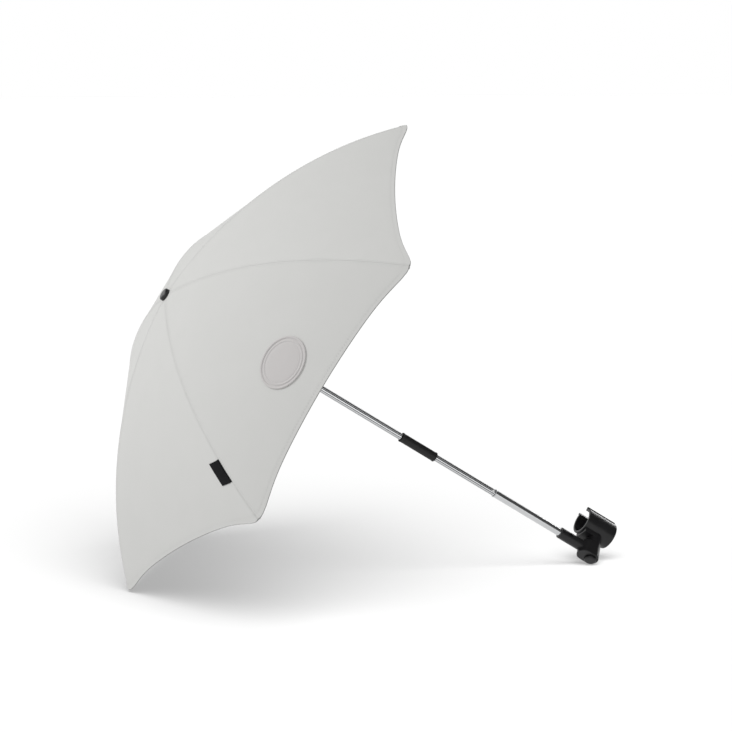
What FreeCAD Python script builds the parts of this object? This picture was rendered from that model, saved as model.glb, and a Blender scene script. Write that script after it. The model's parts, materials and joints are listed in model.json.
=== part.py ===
import FreeCAD, Part
import math
import os

import Sketcher

# A pram parasol: a six-rib folding canopy on a telescopic pole that bends in the middle and is
# held to a pram's tube by a swivelling clip.
#
# Pole frame, in which every piece is drawn: the origin is where the pole's axis meets the
# knuckle's swivel axis, z runs up the pole to the crown, x points up from the pole, near rib 1.
# Row frame, in which every piece is placed: the origin is the middle of the clip's bore, +Z is up,
# the pole leans back in the XZ plane, with the canopy towards -X.

SIZES = {
    # Lean of the pole, and turn of the clip and of the canopy about it, in degrees
    "pole_pitch": 31.8,
    "clip_turn": 40,
    "canopy_turn": -2.2,
    # Canopy
    "rib_count": 6,
    "canopy_radius": 360,
    "canopy_drop": 162.5,
    "rib_bend": 542,
    "pole_reach": 716,
    "cloth_thick": 1,
    "cloth_gap": 0.3,
    "gore_gap": 0.15,
    "hem_rise": 15,
    "crown_hole": 5,
    # Sewn-on patch and label, their reach measured back from the rib's tip
    "patch_radius": 34,
    "patch_thick": 1.2,
    "patch_reach": 63,
    "label_width": 16,
    "label_length": 36,
    "label_thick": 0.8,
    "label_reach": 58,
    # Crown, hinges and hub measured down from the cloth over them
    "hinge_radius": 11,
    "hinge_drop": 3.8,
    "pin_radius": 0.8,
    "pin_length": 7,
    "pin_play": 0.04,
    "hub_rim": 4,
    "hub_drop": 0.1,
    "hub_thick": 9,
    "hub_wall": 2.65,
    "hub_length": 26,
    "hub_web": 5,
    "side_play": 0.3,
    "washer_radius": 6.4,
    "washer_thick": 0.9,
    "finial_radius": 8.5,
    "finial_height": 5,
    "finial_round": 3,
    "stud_radius": 2,
    "stud_length": 8,
    # Ribs and stretchers, the reach of their joint measured back from the rib's tip
    "rib_width": 3,
    "rib_height": 3.6,
    "rib_wall": 0.55,
    "rib_roof": 0.9,
    "rib_eye": 2.2,
    "channel_start": 6.6,
    "lug_radius": 2.6,
    "joint_depth": 3.8,
    "joint_reach": 210,
    "rivet_radius": 0.8,
    "rivet_head": 1.5,
    "rivet_head_thick": 0.6,
    "blade_width": 4,
    "blade_thick": 1.3,
    "cross_pin_radius": 0.9,
    "cross_pin_length": 6,
    "closed_radius": 35,
    # Rib tips
    "tip_wall": 1.2,
    "tip_length": 14,
    "tip_cover": 9,
    "tip_play": 0.1,
    "tip_round": 2.6,
    "tip_show": 1.5,
    # Runner
    "runner_play": 0.2,
    "runner_wall": 3.1,
    "flange_rim": 3,
    "flange_thick": 6,
    "lip_step": 1,
    "lip_thick": 5,
    "catch_width": 2.4,
    "catch_length": 11,
    "catch_rise": 2.5,
    # Tubes
    "tube_radius": 4.7,
    "tube_wall": 0.6,
    "flute_count": 10,
    "flute_radius": 0.9,
    "flute_depth": 0.25,
    "lower_wall": 0.5,
    "slide_play": 0.1,
    "mouth_height": 172,
    "insert_length": 45,
    "plug_length": 12,
    "plug_rim": 3,
    "plug_play": 0.05,
    "button_radius": 1.7,
    "button_rise": 1.4,
    "button_round": 1.1,
    "button_step": 3,
    "button_base": 2.2,
    "button_turn": -70,
    # Bending joint and its sleeve
    "tilt_height": 303,
    "tilt_reach": 15,
    "ear_radius": 5,
    "tongue_thick": 3.6,
    "ear_play": 0.3,
    "collar_step": 0.7,
    "collar_gap": 6.5,
    "tilt_pin_radius": 1.5,
    "spigot_length": 22,
    "sleeve_length": 58,
    "sleeve_play": 0.35,
    "sleeve_wall": 0.9,
    "sleeve_lip": 2,
    "sleeve_round": 0.6,
    # Knuckle
    "barrel_radius": 11.5,
    "barrel_length": 25.2,
    "barrel_back": 13,
    "barrel_round": 1,
    "face_gap": 0.3,
    "socket_wall": 2.65,
    "socket_height": 57,
    "socket_play": 0.05,
    "seat_wall": 2.5,
    "elbow_reach": 10,
    "socket_rivet_height": 42,
    "socket_rivet_radius": 1.5,
    "socket_rivet_head": 2.6,
    "socket_rivet_head_thick": 1,
    "barrel_wall": 2.9,
    "chamber_depth": 13,
    "pivot_radius": 5,
    "pivot_play": 0.05,
    "lock_gap": 1,
    "lock_width": 3,
    "lock_play": 0.4,
    "lock_room": 0.6,
    "lock_thick": 2.4,
    "tooth_count": 24,
    "tooth_width": 0.9,
    "tooth_depth": 0.8,
    "screw_radius": 1.8,
    "screw_length": 12,
    "screw_step": 1.8,
    "screw_head_thick": 1.8,
    # Push button
    "push_play": 0.3,
    "push_length": 9,
    "push_stand": 4,
    "push_round": 2.4,
    "push_stem": 2.6,
    "push_stem_length": 2.2,
    "spring_wire": 0.3,
    "spring_turns": 3,
    # Clip
    "neck_length": 10,
    "bore_radius": 16,
    "ring_wall": 3.5,
    "ring_length": 48,
    "mouth_width": 13,
    "jaw_reach": 4.5,
    "jaw_flare": 2.5,
    "jaw_thick": 3,
    "clip_round": 1,
    "saddle_width": 22,
    "saddle_depth": 4,
    "saddle_inset": 2,
}

doc = FreeCAD.newDocument("PramParasol")
sheet = doc.addObject("Spreadsheet::Sheet", "dims")
for row, (alias, number) in enumerate(SIZES.items(), start=1):
    sheet.set("A%d" % row, alias)
    sheet.set("B%d" % row, str(number))
    sheet.setAlias("B%d" % row, alias)
doc.recompute()


class Size:
    """A number together with the expression over the sheet that gives it."""

    def __init__(self, value, text):
        self.value = float(value)
        self.text = text

    def __add__(self, other):
        other = as_size(other)
        return Size(self.value + other.value, "(%s + %s)" % (self.text, other.text))

    def __sub__(self, other):
        other = as_size(other)
        return Size(self.value - other.value, "(%s - %s)" % (self.text, other.text))

    def __mul__(self, other):
        other = as_size(other)
        return Size(self.value * other.value, "(%s * %s)" % (self.text, other.text))

    def __truediv__(self, other):
        other = as_size(other)
        return Size(self.value / other.value, "(%s / %s)" % (self.text, other.text))

    def __float__(self):
        return self.value


def smaller(one, other):
    """The lesser of two sizes, such as a rounding and the wall that limits it."""
    return Size(min(one.value, other.value), "min(%s; %s)" % (one.text, other.text))


def as_size(number):
    """Take a Size as it is and a plain number as its own expression."""
    if isinstance(number, Size):
        return number
    return Size(number, repr(float(number)))


def size(alias):
    """The sheet's value under one name."""
    return Size(float(sheet.get(alias)), "dims." + alias)


def mm(alias):
    """The sheet's value as a bare number, for what is worked out by trigonometry."""
    return float(sheet.get(alias))


ZERO = as_size(0)
# The rib whose seam carries the label; the patch is on the panel after it
LABEL_RIB = 5
# Sections of the loft along a gore, and how late the hem's curve sets in along it
GORE_SECTIONS = 6
HEM_POWER = 4
# Steps at which the stretchers' lead on the runner is looked for
LEAD_STEPS = 50
# Share of a wall that its rounding may take
ROUND_SHARE = 0.9
# How near two lengths or places are taken to be the same
SAME = 1e-4
Vector = FreeCAD.Vector
X_AXIS = Vector(1, 0, 0)
Y_AXIS = Vector(0, 1, 0)
Z_AXIS = Vector(0, 0, 1)


def turn(axis, degrees):
    """A placement that only turns."""
    return FreeCAD.Placement(Vector(), FreeCAD.Rotation(axis, degrees))


def shift(x, y, z):
    """A placement that only moves."""
    return FreeCAD.Placement(Vector(float(x), float(y), float(z)), FreeCAD.Rotation())


# Sizes that follow from what a piece fits, seats on or goes round

fit_bore = size("tube_radius") + size("socket_play")
hub_radius = size("hinge_radius") + size("hub_rim")
hub_neck = fit_bore + size("hub_wall")
slot_floor = size("hinge_radius") - size("rib_eye") - size("side_play")
runner_bore = size("tube_radius") + size("runner_play")
runner_radius = runner_bore + size("runner_wall")
flange_radius = size("hinge_radius") + size("flange_rim")
lip_radius = runner_radius + size("lip_step")
lower_bore = size("tube_radius") + size("slide_play")
lower_radius = lower_bore + size("lower_wall")
socket_bore = lower_radius + size("socket_play")
socket_radius = socket_bore + size("socket_wall")
collar_radius = size("tube_radius") + size("collar_step")
sleeve_bore = collar_radius + size("sleeve_play")
sleeve_radius = sleeve_bore + size("sleeve_wall")
tube_seat = size("barrel_radius") + size("seat_wall")
chamber_radius = size("barrel_radius") - size("barrel_wall")
push_radius = chamber_radius - size("push_play")
screw_head = size("pivot_radius") + size("screw_step")
spring_radius = (screw_head + chamber_radius) / 2
lock_inner = size("pivot_radius") + size("lock_gap")
lock_outer = lock_inner + size("lock_width")
recess_radius = lock_outer + size("lock_play")
recess_depth = size("lock_thick") + size("lock_room")
barrel_front = size("barrel_length") - size("barrel_back")
boss_face = barrel_front + size("face_gap")
ring_radius = size("bore_radius") + size("ring_wall")
ring_offset = boss_face + size("neck_length") + ring_radius

# Places in the pole frame, worked out from the driving dimensions

rib_step = 360 / mm("rib_count")
half_step = math.radians(rib_step / 2)
apex = size("pole_reach")
lean = turn(Y_AXIS, mm("pole_pitch") - 90)
clip_side = turn(Z_AXIS, mm("clip_turn"))
bore_centre = lean.multVec(clip_side.multVec(Vector(ring_offset.value, 0, 0)))
POLE = FreeCAD.Placement(-bore_centre, lean.Rotation)
CANOPY = POLE * turn(Z_AXIS, mm("canopy_turn"))
CLIP = POLE * clip_side
# The barrel frame's z runs along the swivel axis from the button's end to the clip.
BARREL = CLIP * turn(Y_AXIS, 90)

# The cloth over a rib is an arc from the apex to the tip; its centre lies below, inside the canopy.
half_chord = math.hypot(mm("canopy_radius"), mm("canopy_drop")) / 2
centre_depth = math.sqrt(mm("rib_bend") ** 2 - half_chord ** 2)
chord_slope = math.atan2(mm("canopy_drop"), mm("canopy_radius"))
ARC_X = mm("canopy_radius") / 2 - centre_depth * math.sin(chord_slope)
ARC_Z = apex.value - mm("canopy_drop") / 2 - centre_depth * math.cos(chord_slope)


def cloth_fall(reach):
    """How far the cloth over a rib lies below the apex, at a distance from the pole."""
    return apex.value - ARC_Z - math.sqrt(mm("rib_bend") ** 2 - (reach - ARC_X) ** 2)


def panel_fall(reach):
    """The same in the middle of a panel, where the cloth lies lowest."""
    return cloth_fall(reach / math.cos(half_step))


# The crown's pieces fill the room under the cloth, and the finial cap sits on it.
washer_room = max(cloth_fall(mm("crown_hole")), panel_fall(mm("washer_radius"))) + mm("washer_thick")
crown_room = max(panel_fall(hub_radius.value), washer_room)
hub_top = apex - crown_room - size("cloth_thick") - size("hub_drop")
cap_foot = apex - min(cloth_fall(mm("crown_hole")), cloth_fall(mm("finial_radius"))) + size("cloth_gap")

rib_top = size("rib_bend") - size("cloth_thick") - size("cloth_gap") - size("tip_wall")
rib_under = rib_top - size("rib_height")
hinge_fall = cloth_fall(mm("hinge_radius")) + mm("hinge_drop")
hinge_height = apex - cloth_fall(mm("hinge_radius")) - size("hinge_drop")
# The hinge pin, seen from the arc's centre
hinge_x = mm("hinge_radius") - ARC_X
hinge_z = hinge_height.value - ARC_Z
root_angle = math.atan2(hinge_x, hinge_z)
tip_angle = math.asin((mm("canopy_radius") - ARC_X) / mm("rib_bend"))
joint_line = rib_top.value - mm("joint_depth")
joint_x = mm("canopy_radius") - mm("joint_reach") - ARC_X
joint_z = math.sqrt(joint_line ** 2 - joint_x ** 2)

# Rib hinge, stretcher joint and runner make an isosceles triangle at every angle.
arm_run = joint_x - hinge_x
arm_fall = hinge_z - joint_z
arm_length = math.hypot(arm_run, arm_fall)
open_angle = math.atan2(arm_fall, arm_run)
runner_height = hinge_height.value - 2 * arm_fall
tip_run = mm("canopy_radius") - mm("hinge_radius")
tip_fall = mm("canopy_drop") - hinge_fall
tip_reach = math.hypot(tip_run, tip_fall)
tip_slope = math.atan2(tip_fall, tip_run)
closed_slope = math.acos((mm("closed_radius") - mm("hinge_radius")) / tip_reach)
fold_angle = closed_slope - tip_slope


def pin_travel(share):
    """How far the stretchers' ends have come down the pole at a share of the fold."""
    return 2 * arm_length * (math.sin(open_angle + share * fold_angle) - math.sin(open_angle))


runner_travel = pin_travel(1)
lead = max(pin_travel(step / LEAD_STEPS) - step / LEAD_STEPS * runner_travel for step in range(LEAD_STEPS))

pieces = []


def finish(thing, placement, label):
    """Name a piece, put it in its place and keep it for writing."""
    thing.Label = label
    thing.Placement = placement
    pieces.append(thing)
    return thing


# Drawing helpers

def bind(thing, **sizes):
    """Bind properties of an object to the sheet."""
    for name, number in sizes.items():
        thing.setExpression(name, as_size(number).text)


def new_sketch(body, role):
    """A sketch on one of the body's own origin planes."""
    sketch = body.newObject("Sketcher::SketchObject", "Sketch")
    plane = [item for item in body.Origin.OriginFeatures if item.Role == role][0]
    sketch.AttachmentSupport = [(plane, "")]
    sketch.MapMode = "FlatFace"
    return sketch


def pin_point(sketch, geometry, point, x, y):
    """Hold a point of the sketch at x, y from its origin."""
    for kind, number, axis in (("DistanceX", as_size(x), -2), ("DistanceY", as_size(y), -1)):
        if number.value == 0:
            sketch.addConstraint(Sketcher.Constraint("PointOnObject", geometry, point, axis))
            continue
        index = sketch.addConstraint(
            Sketcher.Constraint(kind, -1, 1, geometry, point, number.value))
        sketch.setExpression("Constraints[%d]" % index, number.text)


def draw_outline(sketch, corners):
    """A closed outline of straight lines, each corner held at its own sizes."""
    first = sketch.GeometryCount
    count = len(corners)
    for index in range(count):
        start = corners[index]
        end = corners[(index + 1) % count]
        sketch.addGeometry(Part.LineSegment(
            Vector(float(start[0]), float(start[1]), 0), Vector(float(end[0]), float(end[1]), 0)))
    for index, (x, y) in enumerate(corners):
        before = first + (index - 1) % count
        sketch.addConstraint(Sketcher.Constraint("Coincident", before, 2, first + index, 1))
        pin_point(sketch, first + index, 1, x, y)


def draw_rectangle(sketch, x0, y0, x1, y1):
    """A rectangle between two corners."""
    draw_outline(sketch, [(x0, y0), (x1, y0), (x1, y1), (x0, y1)])


def draw_circle(sketch, x, y, radius):
    """A circle held at x, y."""
    radius = as_size(radius)
    centre = Vector(float(x), float(y), 0)
    circle = sketch.addGeometry(Part.Circle(centre, Z_AXIS, radius.value))
    pin_point(sketch, circle, 3, x, y)
    index = sketch.addConstraint(Sketcher.Constraint("Radius", circle, radius.value))
    sketch.setExpression("Constraints[%d]" % index, radius.text)


def draw_band(sketch, inner, outer, start, end):
    """An arc-shaped band about the sketch's origin; angles are from its vertical axis."""
    turns = (math.pi / 2 - end, math.pi / 2 - start)
    arcs = []
    for radius in (as_size(outer), as_size(inner)):
        circle = Part.Circle(Vector(), Z_AXIS, radius.value)
        arc = sketch.addGeometry(Part.ArcOfCircle(circle, *turns))
        sketch.addConstraint(Sketcher.Constraint("Coincident", arc, 3, -1, 1))
        index = sketch.addConstraint(Sketcher.Constraint("Radius", arc, radius.value))
        sketch.setExpression("Constraints[%d]" % index, radius.text)
        arcs.append((arc, radius.value))
    for point, angle in ((1, end), (2, start)):
        tops = []
        for arc, radius in arcs:
            across = radius * math.sin(angle)
            tops.append(Vector(across, radius * math.cos(angle), 0))
            sketch.addConstraint(Sketcher.Constraint("DistanceX", -1, 1, arc, point, across))
        line = sketch.addGeometry(Part.LineSegment(tops[0], tops[1]))
        sketch.addConstraint(Sketcher.Constraint("Coincident", line, 1, arcs[0][0], point))
        sketch.addConstraint(Sketcher.Constraint("Coincident", line, 2, arcs[1][0], point))


def new_body(name):
    """An empty body."""
    return doc.addObject("PartDesign::Body", name)


def pad(body, sketch, length, both_ways=False, backwards=False):
    """Thicken a sketch."""
    feature = body.newObject("PartDesign::Pad", "Pad")
    feature.Profile = sketch
    feature.Midplane = both_ways
    feature.Reversed = backwards
    bind(feature, Length=length)
    return feature


def cut(body, sketch, length, both_ways=True, backwards=False):
    """Cut a sketch out of the body."""
    feature = body.newObject("PartDesign::Pocket", "Pocket")
    feature.Profile = sketch
    feature.Midplane = both_ways
    feature.Reversed = backwards
    bind(feature, Length=length)
    return feature


def around(body, feature, count):
    """Repeat a feature around the body's z axis."""
    pattern = body.newObject("PartDesign::PolarPattern", "Pattern")
    pattern.Originals = [feature]
    axis = [item for item in body.Origin.OriginFeatures if item.Role == "Z_Axis"][0]
    pattern.Axis = (axis, [""])
    pattern.Angle = 360
    bind(pattern, Occurrences=count)
    body.Tip = pattern
    return pattern


def revolve(name, corners):
    """A body turned about z from an outline of radius and height."""
    body = new_body(name)
    sketch = new_sketch(body, "XZ_Plane")
    draw_outline(sketch, corners)
    spin = body.newObject("PartDesign::Revolution", "Revolution")
    spin.Profile = sketch
    spin.ReferenceAxis = (sketch, ["V_Axis"])
    spin.Angle = 360
    return body


def round_rims(body, radius, wall, rims):
    """Round the circular edges of a turned body at the given radii and heights, within a wall."""
    doc.recompute()
    names = []
    for index, edge in enumerate(body.Shape.Edges, start=1):
        if not isinstance(edge.Curve, Part.Circle):
            continue
        for rim_radius, rim_height in rims:
            near = abs(edge.Curve.Radius - float(rim_radius)) < SAME
            if near and abs(edge.Curve.Center.z - float(rim_height)) < SAME:
                names.append("Edge%d" % index)
    fillet = body.newObject("PartDesign::Fillet", "Fillet")
    fillet.Base = (body.Tip if body.Tip != fillet else fillet.BaseFeature, names)
    bind(fillet, Radius=smaller(radius, wall * ROUND_SHARE))
    return fillet


def cylinder(radius, height, placement):
    """A plain cylinder, its size bound to the sheet."""
    thing = doc.addObject("Part::Cylinder", "Cylinder")
    bind(thing, Radius=radius, Height=height)
    thing.Placement = placement
    return thing


def box(length, width, height, placement):
    """A plain box, its size bound to the sheet."""
    thing = doc.addObject("Part::Box", "Box")
    bind(thing, Length=length, Width=width, Height=height)
    thing.Placement = placement
    return thing


def fuse(*things):
    """Several solids made one."""
    thing = doc.addObject("Part::MultiFuse", "Fusion")
    thing.Shapes = list(things)
    return thing


def subtract(base, tool):
    """One solid less another."""
    thing = doc.addObject("Part::Cut", "Cut")
    thing.Base = base
    thing.Tool = tool
    return thing


def overlap(base, tool):
    """What two solids share."""
    thing = doc.addObject("Part::Common", "Common")
    thing.Base = base
    thing.Tool = tool
    return thing


def group(*things):
    """Several separate solids in one piece."""
    thing = doc.addObject("Part::Compound", "Group")
    thing.Links = list(things)
    return thing


def rivet(radius, length, head, head_thick):
    """A shank along z, centred on the origin, with a flat head on each end."""
    half = float(length) / 2
    thick = float(head_thick)
    return fuse(
        cylinder(radius, length, shift(0, 0, -half)),
        cylinder(head, head_thick, shift(0, 0, half)),
        cylinder(head, head_thick, shift(0, 0, -half - thick)))


# Crown

def make_crown():
    """Hub, hinge pins, washer and finial cap."""
    hub_under = hub_top - size("hub_thick")
    hub_foot = hub_top - size("hub_length")
    tube_top = hub_top - size("hub_web")
    thread = size("stud_radius") + size("pin_play")
    hub = revolve("crown_hub", [
        (thread, hub_top), (hub_radius, hub_top), (hub_radius, hub_under),
        (hub_neck, hub_under), (hub_neck, hub_foot), (fit_bore, hub_foot),
        (fit_bore, tube_top), (thread, tube_top)])
    slot = new_sketch(hub, "XZ_Plane")
    draw_rectangle(slot, slot_floor, hub_foot, hub_radius * 2, apex)
    around(hub, cut(hub, slot, size("rib_width") + size("side_play") * 2), size("rib_count"))
    drill = new_sketch(hub, "XZ_Plane")
    draw_circle(drill, size("hinge_radius"), hinge_height, size("pin_radius") + size("pin_play"))
    around(hub, cut(hub, drill, size("pin_length")), size("rib_count"))
    finish(hub, CANOPY, "crown_hub")

    pins = []
    for index in range(int(mm("rib_count"))):
        place = turn(Z_AXIS, index * rib_step)
        place = place * shift(mm("hinge_radius"), mm("pin_length") / 2, hinge_height)
        pins.append(cylinder(size("pin_radius"), size("pin_length"), place * turn(X_AXIS, 90)))
    finish(group(*pins), CANOPY, "crown_pins")

    washer_top = hub_top + size("washer_thick")
    washer = revolve("canopy_washer", [
        (thread, hub_top), (size("washer_radius"), hub_top),
        (size("washer_radius"), washer_top), (thread, washer_top)])
    finish(washer, POLE, "canopy_washer")

    cap_top = cap_foot + size("finial_height")
    stud_foot = cap_foot - size("stud_length")
    cap = revolve("finial_cap", [
        (ZERO, stud_foot), (size("stud_radius"), stud_foot), (size("stud_radius"), cap_foot),
        (size("finial_radius"), cap_foot), (size("finial_radius"), cap_top), (ZERO, cap_top)])
    round_rims(cap, size("finial_round"), size("finial_height"), [(mm("finial_radius"), cap_top)])
    finish(cap, POLE, "finial_cap")


# Ribs

def rib_frame(index):
    """The plane of one rib, with the centre of its arc as origin."""
    return CANOPY * turn(Z_AXIS, index * rib_step) * shift(ARC_X, 0, ARC_Z)


def make_rib(index):
    """A curved channel, open below, with an eye at the crown and a lug for its stretcher."""
    rib_end = tip_angle - (mm("tip_length") - mm("tip_cover")) / mm("rib_bend")
    channel = rib_top - size("rib_roof")
    body = new_body("rib")
    band = new_sketch(body, "XZ_Plane")
    draw_band(band, rib_under, rib_top, root_angle, rib_end)
    pad(body, band, size("rib_width"), both_ways=True)
    eye = new_sketch(body, "XZ_Plane")
    draw_circle(eye, hinge_x, hinge_z, size("rib_eye"))
    pad(body, eye, size("rib_width"), both_ways=True)
    lug = new_sketch(body, "XZ_Plane")
    draw_circle(lug, joint_x, joint_z, size("lug_radius"))
    pad(body, lug, size("rib_width"), both_ways=True)
    groove = new_sketch(body, "XZ_Plane")
    eye_room = mm("channel_start") / mm("rib_bend")
    cover_room = mm("tip_cover") / mm("rib_bend")
    draw_band(groove, rib_under - size("lug_radius") * 2, channel, root_angle + eye_room,
              rib_end - cover_room)
    cut(body, groove, size("rib_width") - size("rib_wall") * 2)
    holes = new_sketch(body, "XZ_Plane")
    draw_circle(holes, hinge_x, hinge_z, size("pin_radius") + size("pin_play"))
    draw_circle(holes, joint_x, joint_z, size("rivet_radius") + size("pin_play"))
    cut(body, holes, size("rib_width") * 2)
    finish(body, rib_frame(index), "rib_%d" % (index + 1))

    pin = rivet(size("rivet_radius"), size("rib_width") + size("pin_play") * 2,
                size("rivet_head"), size("rivet_head_thick"))
    place = rib_frame(index) * shift(joint_x, 0, joint_z) * turn(X_AXIS, 90)
    finish(pin, place, "rib_rivet_%d" % (index + 1))


def make_tip(index):
    """A rounded cap pushed over the end of a rib, under the corner of the cloth."""
    radius = size("rib_height") / 2 + size("tip_wall")
    body = revolve("rib_tip", [
        (ZERO, ZERO), (radius, ZERO), (radius, size("tip_length")), (ZERO, size("tip_length"))])
    round_rims(body, size("tip_round"), radius, [(radius, size("tip_length"))])
    pocket = new_sketch(body, "XY_Plane")
    high = size("rib_height") / 2 + size("tip_play")
    wide = size("rib_width") / 2 + size("tip_play")
    draw_rectangle(pocket, ZERO - high, ZERO - wide, high, wide)
    cut(body, pocket, size("tip_cover") + size("tip_play"), both_ways=False, backwards=True)
    foot_angle = tip_angle - mm("tip_length") / mm("rib_bend")
    line = rib_top.value - mm("rib_height") / 2
    place = rib_frame(index) * shift(line * math.sin(foot_angle), 0, line * math.cos(foot_angle))
    finish(body, place * turn(Y_AXIS, 90 + math.degrees(foot_angle)), "rib_tip_%d" % (index + 1))


def make_stretcher(index):
    """A flat blade from the rib's lug to the runner, with a cross pin at the runner's end."""
    half = size("blade_width") / 2
    thin = mm("blade_thick") / 2
    sideways = turn(Y_AXIS, 90)
    blade = box(size("blade_thick"), size("blade_width"), arm_length, shift(
        -thin, -mm("blade_width") / 2, -arm_length))
    eye = cylinder(half, size("blade_thick"), shift(-thin, 0, 0) * sideways)
    end = cylinder(half, size("blade_thick"), shift(-thin, 0, -arm_length) * sideways)
    cross = cylinder(size("cross_pin_radius"), size("cross_pin_length"),
                     shift(-mm("cross_pin_length") / 2, 0, -arm_length) * sideways)
    drill = cylinder(size("rivet_radius") + size("pin_play"), size("blade_thick") * 2,
                     shift(-thin * 2, 0, 0) * sideways)
    whole = subtract(fuse(blade, eye, end, cross), drill)
    # The blade's own frame: x across the rib, z along the blade, away from the runner.
    place = rib_frame(index) * shift(joint_x, 0, joint_z)
    place = place * turn(Y_AXIS, 90 - math.degrees(open_angle)) * turn(Z_AXIS, 90)
    finish(whole, place, "stretcher_%d" % (index + 1))


# Canopy

def cloth_station(angle, rise):
    """The cloth's section through one point of a rib: rib point, bend point and panel middle.

    Each comes with the unit vector that points into the cloth's thickness. The bend point and the
    panel middle stand on the rib's +y side.
    """
    radius = ARC_X + mm("rib_bend") * math.sin(angle)
    height = ARC_Z + mm("rib_bend") * math.cos(angle)
    rib = Vector(radius, 0, height)
    rib_in = Vector(-math.sin(angle), 0, -math.cos(angle))
    outward = Vector(math.cos(half_step), math.sin(half_step), 0)
    sideways = Vector(-math.sin(half_step), math.cos(half_step), 0)
    down = outward * (math.cos(angle) * math.cos(half_step)) + Z_AXIS * -math.sin(angle)
    down.normalize()
    middle_in = Z_AXIS * -down.dot(outward) + outward * down.z
    middle = outward * (radius * math.cos(half_step)) + Z_AXIS * height - sideways * mm("gore_gap")
    lift = down * -rise
    bend = (rib + middle) / 2 + lift
    return (rib, rib_in), (bend, (rib_in + middle_in) / 2), (middle + lift, middle_in)


def mirrored(point):
    """The same point on the other side of the rib."""
    return Vector(point.x, -point.y, point.z)


def bow(start, bend, end):
    """A smooth curve from start to end that leans to bend."""
    curve = Part.BezierCurve()
    curve.setPoles([start, bend, end])
    return curve.toShape()


def cloth_section(angle, rise):
    """The edges of one closed section of a gore: outer pair, end, inner pair, end."""
    (rib, rib_in), (bend, bend_in), (middle, middle_in) = cloth_station(angle, rise)
    thick = mm("cloth_thick")
    rib_low = rib + rib_in * thick
    bend_low = bend + bend_in * thick
    middle_low = middle + middle_in * thick
    return [
        bow(mirrored(middle), mirrored(bend), rib),
        bow(rib, bend, middle),
        Part.makeLine(middle, middle_low),
        bow(middle_low, bend_low, rib_low),
        bow(rib_low, mirrored(bend_low), mirrored(middle_low)),
        Part.makeLine(mirrored(middle_low), mirrored(middle))]


def make_gore(index):
    """The cloth that one rib carries: half a panel on each side, with a hem that curves in."""
    first = math.asin((mm("crown_hole") - ARC_X) / mm("rib_bend"))
    last = tip_angle - mm("tip_show") / mm("rib_bend")
    sections = []
    for step in range(GORE_SECTIONS + 1):
        share = step / GORE_SECTIONS
        rise = mm("hem_rise") * share ** HEM_POWER
        sections.append(cloth_section(first + (last - first) * share, rise))
    faces = Part.makeLoft([Part.Wire(edges) for edges in sections], False, False).Faces
    for edges in (sections[0], sections[-1]):
        faces.append(Part.makeRuledSurface(edges[0], edges[4]))
        faces.append(Part.makeRuledSurface(edges[1], edges[3]))
    skin = Part.Compound(faces)
    skin.sewShape()
    gore = doc.addObject("Part::Feature", "gore")
    gore.Shape = Part.makeSolid(Part.Shell(skin.Faces))
    finish(gore, CANOPY * turn(Z_AXIS, index * rib_step), "canopy_gore_%d" % (index + 1))


def seat_on_cloth(index, point, outside, down):
    """A placement on the cloth of one rib: z out of the cloth, y down the slope."""
    across = down.cross(outside)
    turned = FreeCAD.Rotation(across, down, outside, "ZYX")
    return CANOPY * turn(Z_AXIS, index * rib_step) * FreeCAD.Placement(
        point + outside * mm("cloth_gap"), turned)


def angle_from_tip(alias):
    """Where on the arc a piece lies whose reach is measured back from the tip."""
    return math.asin((mm("canopy_radius") - mm(alias) - ARC_X) / mm("rib_bend"))


def make_sewn_pieces():
    """The round patch in the middle of its panel and the label on the seam beside it."""
    angle = angle_from_tip("patch_reach")
    middle, middle_in = cloth_station(angle, 0)[2]
    outside = middle_in * -1
    outward = Vector(math.cos(half_step), math.sin(half_step), 0)
    down = outward * outside.z - Z_AXIS * outside.dot(outward)
    patch = cylinder(size("patch_radius"), size("patch_thick"), FreeCAD.Placement())
    finish(patch, seat_on_cloth(LABEL_RIB - 1, middle, outside, down), "patch")

    angle = angle_from_tip("label_reach")
    rib, rib_in = cloth_station(angle, 0)[0]
    down = Vector(math.cos(angle), 0, -math.sin(angle))
    plate = box(size("label_width"), size("label_length"), size("label_thick"), shift(
        -mm("label_width") / 2, -mm("label_length") / 2, 0))
    finish(group(plate), seat_on_cloth(LABEL_RIB - 1, rib, rib_in * -1, down), "label")


# Runner

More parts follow.
